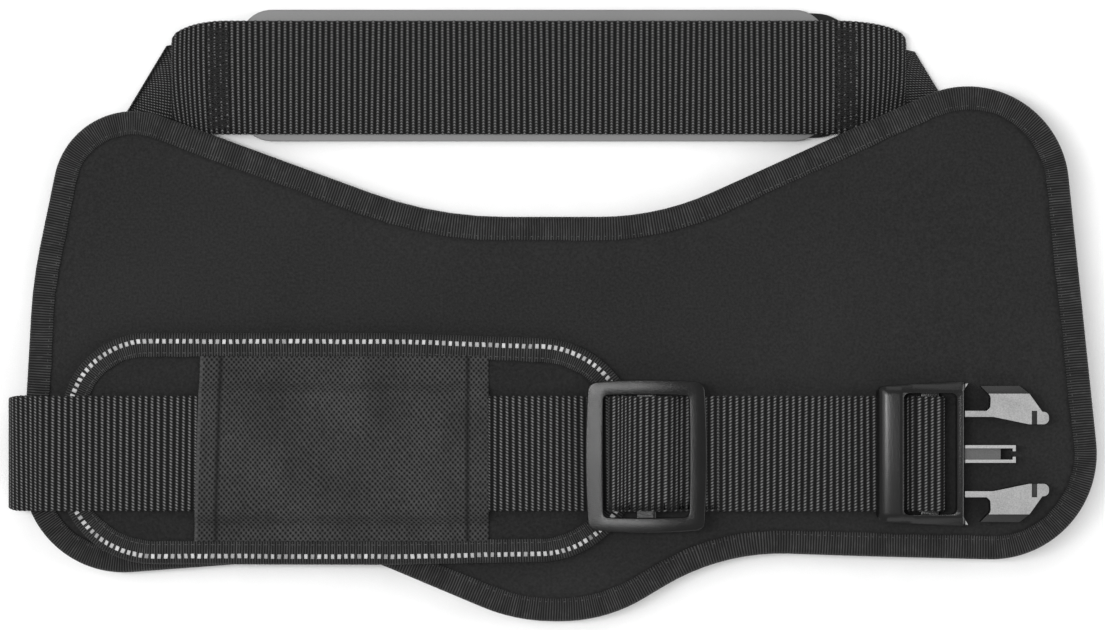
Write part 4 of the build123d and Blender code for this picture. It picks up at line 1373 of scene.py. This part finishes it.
def seam(name, corners, inset, height, face):
    """Stitches round an outline at a distance from it, on the face that looks up or down."""
    loop, _ = outline(corners, STITCH)
    centres = loop + inward(loop) * inset
    along = np.roll(centres, -1, 0) - np.roll(centres, 1, 0)
    along = np.column_stack([along, np.zeros(len(along))])
    slant = 0.16 * drift(np.arange(len(loop)) * STITCH, 40, 5)
    along[:, :2] += slant[:, None] * inward(loop) * np.linalg.norm(along, axis=1)[:, None]
    spot = np.column_stack([centres, height(centres[:, 0]) * np.ones(len(centres))])
    up = np.tile([0.0, 0.0, face], (len(centres), 1))
    return stitches(name, spot, along, up, SEAM_STITCH, SEAM_THREAD, tape_thread)


for side, face in (("top", 1.0), ("under", -1.0)):
    depth = UNDER + PANEL + 0.38 if face > 0 else UNDER - 0.38
    made = seam(f"saddle_seam_{side}", saddle_corners, TAPE - SEAM_INSET,
                lambda x, depth=depth: depth + ramp(x), face)
    belongs(made, "saddle", "thread")

# %% [markdown]
# ## Belly pad
# The pad is cut from the same sandwich, smaller and softer. It has its own tape with a dashed
# reflective line. It leans a little to the left, as a pad sewn by hand does.

# %% Pad body
pad_low, pad_high = box("pad_binding")
PAD_LEFT, PAD_REAR, PAD_UNDER = pad_low
PAD_RIGHT, PAD_FRONT, PAD_TOP = pad_high
PAD_LIP = 0.7
pad_corners = [
    (PAD_LEFT + 8.5, PAD_FRONT - 0.2, 38), (PAD_LEFT + 150, PAD_FRONT - 0.3, 300),
    (PAD_RIGHT, PAD_FRONT - 4.0, 44), (PAD_RIGHT - 1.5, PAD_REAR + 2.0, 44),
    (PAD_LEFT + 150, PAD_REAR, 300), (PAD_LEFT, PAD_REAR + 0.4, 42),
]
pad_loop, _ = outline(pad_corners, 4.0)
pad_start = np.argmin(pad_loop[:, 0] + 0.05 * np.abs(pad_loop[:, 1] - STRAP_Y))
pad_loop = np.roll(pad_loop, -pad_start, 0)
pad_core = pad_loop + inward(pad_loop) * PAD_LIP
PAD_STEPS = (0.08, 0.15, 0.2, 0.25, 0.32, 0.42, 0.55, 0.7, 0.85, 1.0)


def pad_top(x, y, d):
    """Face fabric, with a groove under the tape's seam."""
    groove = 0.55 * np.exp(-((d - TAPE + 1.2) / 1.4) ** 2)
    return PAD_TOP - PAD_LIP - groove - 0.1


def pad_held(co):
    """The pad swells between its tape and the strap, not under them."""
    return (nearest(co, pad_loop) < TAPE + 1.0) | (np.abs(co[:, 1] - STRAP_Y) < WEB / 2 + 2)


pad_body = slab("belly_pad_body", pad_core, lambda x, y, d: PAD_UNDER + PAD_LIP + 0 * x, pad_top,
                pad_fabric, rim=1.6, steps=PAD_STEPS)
puff(pad_body, pad_held, 0.5, 0.1)
belongs(pad_body, "pad", "neoprene_lining", "pad_back", "pad_foam", "pad_face")
smooth_skin(pad_body)

# %% Pad tape, its seam and its dashes
pad_tape = tape("pad_tape", pad_corners, lambda x: PAD_UNDER + PAD_LIP + 0 * x,
                lambda x: PAD_TOP - PAD_LIP + 0 * x, PAD_LIP, seed=31, pucker=12.0)
belongs(pad_tape, "pad", "edge_tape", "pad_binding")
pad_seam = seam("pad_seam", pad_corners, TAPE - SEAM_INSET, lambda x: PAD_TOP - 0.32, 1.0)
belongs(pad_seam, "pad", "thread")

DASH_PITCH = 2.9
DASH_LENGTH = 1.75
DASH_WIDTH = 2.2
DASH_INSET = 3.7


def dash_row(name, corners, top):
    """Small raised blocks along an outline: each is a 4 by 4 grid over a flat bottom, with its
    corners drawn in. A tone from 0 to 1 is stored on each block."""
    loop, _ = outline(corners, DASH_PITCH)
    normal = inward(loop)
    inset = DASH_INSET + 0.18 * drift(np.arange(len(loop)) * DASH_PITCH, 60, 41)
    centres = loop + normal * inset[:, None]
    along = np.column_stack([normal[:, 1], -normal[:, 0]])
    spread = np.array([-0.5, -0.42, 0.42, 0.5])
    x, y = np.meshgrid(spread, spread, indexing="ij")
    crown = np.where((np.abs(x) > 0.45) | (np.abs(y) > 0.45), 0.0, 1.0)
    draw_in = np.where((np.abs(x) > 0.45) & (np.abs(y) > 0.45), 0.86, 1.0)
    random = np.random.default_rng(8)
    size = random.uniform(0.86, 1.06, (len(loop), 1))
    lean = random.uniform(-0.12, 0.12, (len(loop), 1))
    dx = (x * draw_in).ravel() * DASH_LENGTH * size
    dy = (y * draw_in).ravel() * DASH_WIDTH
    flat = (centres[:, None] + along[:, None] * (dx + lean * dy)[..., None]
            + normal[:, None] * np.broadcast_to(dy, dx.shape)[..., None])
    z = top - 0.25 + 0.3 * crown.ravel()
    points = np.dstack([flat, np.broadcast_to(z, flat.shape[:2])])
    i, j = np.meshgrid(np.arange(3), np.arange(3), indexing="ij")
    quads = np.stack([i * 4 + j, i * 4 + 4 + j, i * 4 + 5 + j, i * 4 + 1 + j], axis=-1).reshape(-1, 4)
    rim = np.array([[0, 1, 2, 3, 7, 11, 15, 14, 13, 12, 8, 4]])
    shift = (np.arange(len(loop)) * 16)[:, None, None]
    faces = [(quads[None] + shift).reshape(-1, 4), (rim[None] + shift).reshape(-1, 12)]
    made = piece(name, points.reshape(-1, 3), faces, dashes)
    tones = np.repeat(np.clip(random.normal(0.62, 0.24, len(loop)), 0, 1), 16)
    tone = made.data.attributes.new("tone", "FLOAT", "POINT")
    tone.data.foreach_set("value", tones.astype(np.float32))
    return made


dash_line = dash_row("reflective_dashes", pad_corners, PAD_TOP)
belongs(dash_line, "pad", "reflective_film", "reflective_stripe")

# %% [markdown]
# ## Sleeve
# A rectangle of coarse fabric sewn down in front of and behind the strap. It lies on the pad,
# climbs over the strap and goes down again. Its two open ends are hemmed: the folded cloth is
# thicker there, with a crease at the hem's inner edge. A soft diagonal fold crosses it.

# %% Sleeve
sleeve_low, sleeve_high = box("pad_sleeve")
SLEEVE_X = (sleeve_low[0] + sleeve_high[0]) / 2
SLEEVE_DOWN = sleeve_low[2] + 0.5
SLEEVE_UP = sleeve_high[2] - 0.5
sleeve_path = [(sleeve_low[1], SLEEVE_DOWN), (STRAP_Y - WEB / 2 - 6, SLEEVE_DOWN),
               (STRAP_Y - WEB / 2 - 1.5, SLEEVE_UP), (STRAP_Y + WEB / 2 + 1.5, SLEEVE_UP),
               (STRAP_Y + WEB / 2 + 6, SLEEVE_DOWN), (sleeve_high[1], SLEEVE_DOWN)]
sleeve_line = lengthwise(sleeve_path, [0, 1.5, 1.5, 1.5, 1.5, 0])[:, 1:]
sleeve_total = lengths(sleeve_line)[-1]
SLEEVE_PLY = 0.55
SLEEVE_LEAN = 2.6            # how far the left end's lower corner stands out


def sleeve_mesh(name):
    """A grid of x along the strap and s across it. The height over the path is a hem's extra
    thickness at both ends, its crease, two soft folds and a slow wave; the left end leans."""
    x = np.linspace(0, 1, 150)
    s = np.linspace(0, sleeve_total, 90)
    u, v = np.meshgrid(x * SLEEVE_LENGTH, s, indexing="ij")
    path = at(sleeve_line, v)
    lean = (1 - v / sleeve_total) * (1 - u / SLEEVE_LENGTH) * SLEEVE_LEAN
    from_end = np.minimum(u, SLEEVE_LENGTH - u)
    hem = 0.22 / (1 + np.exp((from_end - HEM) / 0.35)) - 0.2 * np.exp(-((from_end - HEM) / 0.8) ** 2)
    fold = 0.3 * np.exp(-(((u - 12) * 0.62 - (v - 34) * 0.78) / 2.6) ** 2) * np.clip(u / 40, 0, 1)
    fold += 0.25 * np.exp(-(((u - 66) * 0.5 + (v - 46) * 0.86) / 4.2) ** 2)
    slow = 0.12 * np.sin(u / 17 + np.sin(v / 13)) + 0.08 * np.sin(v / 7 + u / 29)
    lift = hem + (fold + slow) * np.clip((v - 4) / 8, 0, 1) * np.clip((sleeve_total - 4 - v) / 8, 0, 1)
    lift = np.clip(lift, -0.15, 0.5)
    px = SLEEVE_X - SLEEVE_LENGTH / 2 + u - lean
    py = path[..., 0] + 0.35 * np.sin(u / 21.0) * (1 - np.abs(2 * v / sleeve_total - 1))
    top = np.dstack([px, py, path[..., 1] + lift + SLEEVE_PLY / 2])
    under = np.dstack([px, py, path[..., 1] + lift - SLEEVE_PLY / 2])
    points = np.concatenate([top, under[:, ::-1]], axis=1)
    flat = np.stack([u, v], axis=-1)
    uv = np.concatenate([flat, flat[:, ::-1]], axis=1)
    return skin(name, points, uv, sleeve_fabric)


sleeve = sleeve_mesh("pad_sleeve_cloth")
belongs(sleeve, "pad", "sleeve_fabric", "pad_sleeve")

# %% [markdown]
# ## Chest panel and bar tacks
# Behind the band lie a grey reflective film and its black backing, both thin slabs with round
# corners. The band is sewn through them with two bar tacks, dense rows of zigzag stitches.

# %% Film and backing


def rectangle_corners(low, high, radius):
    return [(low[0], low[1], radius), (low[0], high[1], radius),
            (high[0], high[1], radius), (high[0], low[1], radius)]


def rounded_rectangle(low, high, radius):
    """Outline of a rectangle with round corners, its first point at the left end."""
    loop, _ = outline(rectangle_corners(low, high, radius), 2.5)
    start = np.argmin(loop[:, 0] + 0.02 * np.abs(loop[:, 1] - (low[1] + high[1]) / 2))
    return np.roll(loop, -start, 0)


film_low, film_high = box("reflective_panel")
back_low, back_high = box("reflective_backing")


def film_drift(x, y, d):
    """The film's edge wanders by a few tenths of a millimetre in height."""
    return 0.12 * np.sin(x / 31.0) * np.exp(-d / 12)


film_sheet = slab("reflective_film_panel", rounded_rectangle(film_low, film_high, 14),
                  lambda x, y, d: film_low[2] + 0 * x,
                  lambda x, y, d: film_high[2] - 0.15 + film_drift(x, y, d), film, rim=0.35)
belongs(film_sheet, "chest_band", "reflective_film", "reflective_panel")
backing_sheet = slab("film_backing_panel", rounded_rectangle(back_low, back_high, 18),
                     lambda x, y, d: back_low[2] + 0.05 + 0 * x,
                     lambda x, y, d: back_high[2] + 0 * x, backing_fabric, rim=0.4)
belongs(backing_sheet, "chest_band", "shell_fabric", "reflective_backing")

# %% Bar tacks
TACK_ROWS = 3
TACK_PITCH = 0.85
TACK_STITCH, TACK_THREAD = 3.9, 0.34
for hand in ("left", "right"):
    tack_low, tack_high = box(f"chest_tack_{hand}")
    random = np.random.default_rng(51)
    y = np.arange(tack_low[1] + 1, tack_high[1] - 1, TACK_PITCH)
    x = np.linspace(tack_low[0] + 1.9, tack_high[0] - 1.9, TACK_ROWS)
    px, py = (g.ravel() for g in np.meshgrid(x, y, indexing="ij"))
    px = px + random.normal(0, 0.35, px.shape)
    lean = random.normal(0, 0.22, px.shape) + np.where(np.arange(len(px)) % 2, 0.14, -0.14)
    spots = np.column_stack([px, py, np.full(len(px), tack_high[2] - 0.3)])
    along = np.column_stack([np.cos(lean), np.sin(lean), np.zeros(len(px))])
    up = np.tile([0.0, 0.0, 1.0], (len(px), 1))
    tack = stitches(f"bar_tack_{hand}", spots, along, up, TACK_STITCH, TACK_THREAD,
                    tack_thread)
    belongs(tack, "chest_band", "thread", f"chest_tack_{hand}")

# %% [markdown]
# ## Patches and box stitches on the outer side
# Two loop fields take name patches. They are thin pillows, held down by a seam along their edge.
# The strap ends are sewn with the usual box and cross: each run of it is a line of stitches.

# %% Loop fields
PATCH = 1.5                  # thickness of a loop field
PATCH_CORNER = 6
PATCH_SEAM = 2.4
for hand in ("left", "right"):
    patch_low, patch_high = box(f"label_field_{hand}")
    patch = slab(f"loop_patch_{hand}", rounded_rectangle(patch_low, patch_high, PATCH_CORNER),
                 lambda x, y, d: UNDER + ramp(x) - PATCH + 0.5 * np.exp(-((d - PATCH_SEAM) / 0.9) ** 2),
                 lambda x, y, d: UNDER + ramp(x), loop_field, rim=0.7,
                 steps=(0.03, 0.06, 0.1, 0.14, 0.2, 0.3, 0.45, 0.6, 0.8, 1.0))
    belongs(patch, "saddle", "loop_field", f"label_field_{hand}")
    patch_corners = rectangle_corners(patch_low, patch_high, PATCH_CORNER)
    patch_seam = seam(f"loop_patch_seam_{hand}", patch_corners, PATCH_SEAM,
                      lambda x: UNDER + ramp(x) - PATCH + 0.45, -1.0)
    belongs(patch_seam, "saddle", "thread")

# %% Box and cross
BOX_STITCH, BOX_THREAD = 2.3, 0.28


def box_stitches(name, node):
    """Stitches along the four sides and two diagonals of a node's box, on its lower face."""
    low, high = box(node)
    low, high = low + [0.5, 0.5, 0], high - [0.5, 0.5, 0]
    a, b, c, d = [low[0], low[1]], [low[0], high[1]], [high[0], high[1]], [high[0], low[1]]
    spots, along = [], []
    for start, end in ((a, b), (b, c), (c, d), (d, a), (a, c), (b, d)):
        start, end = np.array(start), np.array(end)
        run = np.linalg.norm(end - start)
        count = max(2, round(run / STITCH))
        share = (np.arange(count) + 0.5)[:, None] / count
        spots.append(start + (end - start) * share)
        along.append(np.tile((end - start) / run, (count, 1)))
    spots, along = np.concatenate(spots), np.concatenate(along)
    spots = np.column_stack([spots, np.full(len(spots), high[2] - 0.12)])
    along = np.column_stack([along, np.zeros(len(along))])
    down = np.tile([0.0, 0.0, -1.0], (len(spots), 1))
    return stitches(name, spots, along, down, BOX_STITCH, BOX_THREAD, tape_thread)


for sewn in ("cross", "handle"):
    made = box_stitches(f"{sewn}_box_stitches", f"{sewn}_stitching")
    belongs(made, "saddle", "thread", f"{sewn}_stitching")

# %% [markdown]
# ## Leash ring
# A bent wire, welded in the middle of its straight bar. It is a circle carried round a D-shaped
# line, a little thicker where the weld is.

# %% Leash ring
ring_half = (ring_high[0] - ring_low[0] - WIRE) / 2
ring_rear = ring_low[1] + WIRE / 2
ring_corners = [(-ring_half, RING_Y, 4), (ring_half, RING_Y, 4),
                (ring_half, ring_rear, 13), (-ring_half, ring_rear, 13)]
ring_loop, _ = outline(ring_corners, 0.8)
ring_out = -inward(ring_loop)
around = np.linspace(0, 2 * math.pi, 20, endpoint=False)
weld = np.exp(-(ring_loop[:, 0] / 1.4) ** 2) * (ring_loop[:, 1] > RING_Y - 1)
thick_wire = (WIRE / 2 * (1 + 0.05 * weld))[:, None]
ring_points = np.dstack([
    ring_loop[:, :1] + ring_out[:, :1] * thick_wire * np.cos(around),
    ring_loop[:, 1:] + ring_out[:, 1:] * thick_wire * np.cos(around),
    RING_Z + np.minimum(thick_wire, WIRE / 2) * np.sin(around),
])
ring_uv = np.zeros((len(ring_loop) + 1, len(around), 2))
ring = skin("leash_ring_steel", ring_points, ring_uv, steel, wrap_rows=True)
belongs(ring, "leash_ring", "ring_metal", "leash_ring")

# %% [markdown]
# ## Slide adjuster
# A flat frame with one bar. The frame's two outlines, outer and inner, are joined by a rounded
# profile, so every edge has a soft radius. Its face is slightly arched from left to right, as
# such mouldings are, so that light fades over it. The bar goes across under the strap.

# %% Adjuster
adj_centre = (adjuster_low + adjuster_high) / 2
ADJ_HALF = (adjuster_high - adjuster_low) / 2
ADJ_CORNER, WINDOW_CORNER = 3.8, 2.4
WINDOW_BOW = 0.3
ADJ_EDGE = 0.5
RAIL_X, RAIL_Y = 7.4, 6.3     # widths of the frame's side and end rails
BOW = 1.2                    # how far the middle of a side stands out past its ends
ARCH_DROP = 1.6
OUTLINE_STEP = 0.8


def bowed_outline(half, bow, radius):
    """A rectangle whose sides bow outwards, with round corners: corner points on each side's
    parabola, then one fillet at each corner."""
    run = np.linspace(-1, 1, 13)[1:-1]
    sides = []
    for turn in range(4):
        along, out = (half[0], half[1]) if turn % 2 == 0 else (half[1], half[0])
        flat = np.column_stack([run * (along - bow), out - bow * run ** 2])
        corner = np.array([[along - bow, out - bow]])
        side = np.concatenate([flat, corner])
        angle = -turn * math.pi / 2
        spin = np.array([[math.cos(angle), math.sin(angle)], [-math.sin(angle), math.cos(angle)]])
        sides.append(np.column_stack([side @ spin, [0] * len(flat) + [radius]]))
    return outline(np.concatenate(sides), OUTLINE_STEP)[0]


def frame_ring(name, outer, inner, centre, low, high, edge, material):
    """A ring between two outlines. The profile runs up the inner wall, round to the top, across,
    round and down the outer wall, and back along the bottom. The top arches: it is lowered by
    the square of the distance to the centre in x."""
    count = len(outer)
    closed = np.vstack([inner, inner[:1]])
    inner = at(closed, np.arange(count) / count * lengths(closed)[-1])
    angles = np.radians([0, 22.5, 45, 67.5, 90])
    arc_in, arc_up = edge * (1 - np.cos(angles)), edge * np.sin(angles)
    share_gap = np.linalg.norm(outer - inner, axis=1).min()
    across = np.concatenate([arc_in, share_gap - arc_in[::-1], [share_gap - 0.3, 0.3]]) / share_gap
    rise = np.concatenate([high - edge + arc_up, high - edge + arc_up[::-1], [low, low]])
    across = np.concatenate([[0.0], across[:10], [1.0], across[10:]])
    rise = np.concatenate([[low + 0.3], rise[:10], [low + 0.3], rise[10:]])
    plan = inner[:, None] + (outer - inner)[:, None] * across[None, :, None]
    height = np.broadcast_to(rise, plan.shape[:2]).copy()
    height -= ARCH_DROP * (plan[..., 0] / ADJ_HALF[0]) ** 2 * (rise > (low + high) / 2)
    points = np.dstack([plan[..., 0] + centre[0], plan[..., 1] + centre[1], height])
    return skin(name, points, np.zeros((count + 1, len(rise), 2)), material, wrap_rows=True)


adj_outer = bowed_outline(ADJ_HALF[:2], BOW, ADJ_CORNER)
adj_inner = bowed_outline(ADJ_HALF[:2] - [RAIL_X, RAIL_Y], WINDOW_BOW, WINDOW_CORNER)
adj_start = np.argmin(np.linalg.norm(adj_inner - adj_outer[0] * 0.8, axis=1))
adj_inner = np.roll(adj_inner, -adj_start, 0)
adjuster = frame_ring("slide_adjuster_frame", adj_outer, adj_inner, adj_centre, adjuster_low[2],
                      adjuster_high[2], ADJ_EDGE, plastic)
belongs(adjuster, "adjuster", "moulded_plastic", "adjuster_frame")
BAR_HALF, BAR_HEIGHT = 4.5, 1.8
bar_ends = (adjuster_low[1] + RAIL_Y - 1, adjuster_high[1] - RAIL_Y + 1)
bar_line = np.array([[adj_centre[0], y, adjuster_low[2] + BAR_HEIGHT / 2] for y in bar_ends])
bar = strap("slide_adjuster_bar", bar_line, ALONG, 2 * BAR_HALF, BAR_HEIGHT, plastic, rib=None)
belongs(bar, "adjuster", "moulded_plastic")

# %% [markdown]
# ## Buckle and socket
# The buckle's frame, its two latch arms and the socket keep the shape of their nodes. A moulding
# never has knife edges, so each is a merged copy of its node with a small bevel on every edge that
# turns by more than thirty degrees. The buckle's left end and side rails are also rounded over
# like a barrel. Their flat faces are first cut into narrow strips, so that they can bend.

# %% Mouldings with soft edges


def moulding(name, node, edge, material, body, cuts=(), shape=None):
    """A merged copy of a frame node, bevelled. cuts are planes, (normal, point), that divide it,
    so that shape, a function of its points, can bend the faces between them."""
    copy = bmesh.new()
    copy.from_mesh(frame["nodes"][node].data)
    bmesh.ops.remove_doubles(copy, verts=copy.verts, dist=2e-6)
    bmesh.ops.dissolve_limit(copy, angle_limit=math.radians(0.6), verts=copy.verts,
                             edges=copy.edges, delimit={"NORMAL"})
    for normal, point in cuts:
        bmesh.ops.bisect_plane(copy, geom=copy.verts[:] + copy.edges[:] + copy.faces[:],
                               plane_co=Vector(point) * MM, plane_no=normal, dist=1e-7)
    mesh = bpy.data.meshes.new(name)
    copy.to_mesh(mesh)
    copy.free()
    if shape:
        points = np.zeros(len(mesh.vertices) * 3, np.float32)
        mesh.vertices.foreach_get("co", points)
        points = shape(points.reshape(-1, 3) / MM) * MM
        mesh.vertices.foreach_set("co", points.astype(np.float32).ravel())
        mesh.update()
    mesh.materials.clear()
    mesh.materials.append(material)
    mesh.polygons.foreach_set("use_smooth", np.ones(len(mesh.polygons), bool))
    mesh.polygons.foreach_set("material_index", np.zeros(len(mesh.polygons), np.int32))
    made = bpy.data.objects.new(name, mesh)
    scene.collection.objects.link(made)
    bevel = made.modifiers.new("soft_edges", "BEVEL")
    bevel.width = edge * MM
    bevel.segments = 2
    bevel.limit_method = "ANGLE"
    bevel.angle_limit = math.radians(30)
    bevel.harden_normals = True
    belongs(made, body, "moulded_plastic", node)


buckle_low, buckle_high = box("buckle_frame")
buckle_middle = (buckle_low[1] + buckle_high[1]) / 2
BUCKLE_GUIDE = 22.3          # length of the centre guide
shoulder_x = buckle_high[0] - BUCKLE_GUIDE
# the buckle's painted highlight starts at the shoulder and is brightest above the rails' level
satin = buckle_finish("buckle_nylon", shoulder_x + 0.4, LATCH_TOP - 1.6)
BARREL_CREST = 6.4           # from the buckle's left end to the rounded bar's crest
BARREL_RADIUS = 28.0
BARREL_STRIP = 0.8           # width of the strips that the faces are cut into
RAIL_START, RAIL_RADIUS = 25.5, 7.0
RAIL_STRIP, RAIL_WIDTH = 1.1, 5.6
FRAME_EDGE, LATCH_EDGE = 0.35, 0.22


def barrel(points):
    """Round the frame's top: it sinks by d^2 / 2R, d being the distance left of the bar's crest
    or out past the start of a side rail, and less towards the underside."""
    left = np.clip(BARREL_CREST - (points[:, 0] - buckle_low[0]), 0, None)
    out = np.clip(np.abs(points[:, 1] - buckle_middle) - RAIL_START, 0, None)
    out = np.where(points[:, 0] < shoulder_x - 0.5, out, 0)
    height = (points[:, 2] - buckle_low[2]) / (buckle_high[2] - buckle_low[2])
    share = np.clip(height * 2 - 1, 0, 1)
    points[:, 2] -= share * (left ** 2 / (2 * BARREL_RADIUS) + out ** 2 / (2 * RAIL_RADIUS))
    return points


barrel_strips = np.arange(BARREL_STRIP, BARREL_CREST + 0.1, BARREL_STRIP)
barrel_cuts = [((1, 0, 0), (x, 0, 0)) for x in buckle_low[0] + barrel_strips]
barrel_cuts += [((0, 1, 0), (0, buckle_middle + side * (RAIL_START + d), 0))
                for side in (-1, 1) for d in np.arange(0.0, RAIL_WIDTH, RAIL_STRIP)]
moulding("buckle_frame_moulding", "buckle_frame", FRAME_EDGE, satin, "buckle", barrel_cuts, barrel)
for arm in ("upper", "lower"):
    moulding(f"latch_arm_{arm}_moulding", f"latch_arm_{arm}", LATCH_EDGE, lit_arm_nylon, f"latch_{arm}")
moulding("buckle_socket_moulding", "buckle_socket", FRAME_EDGE, plastic, "socket")
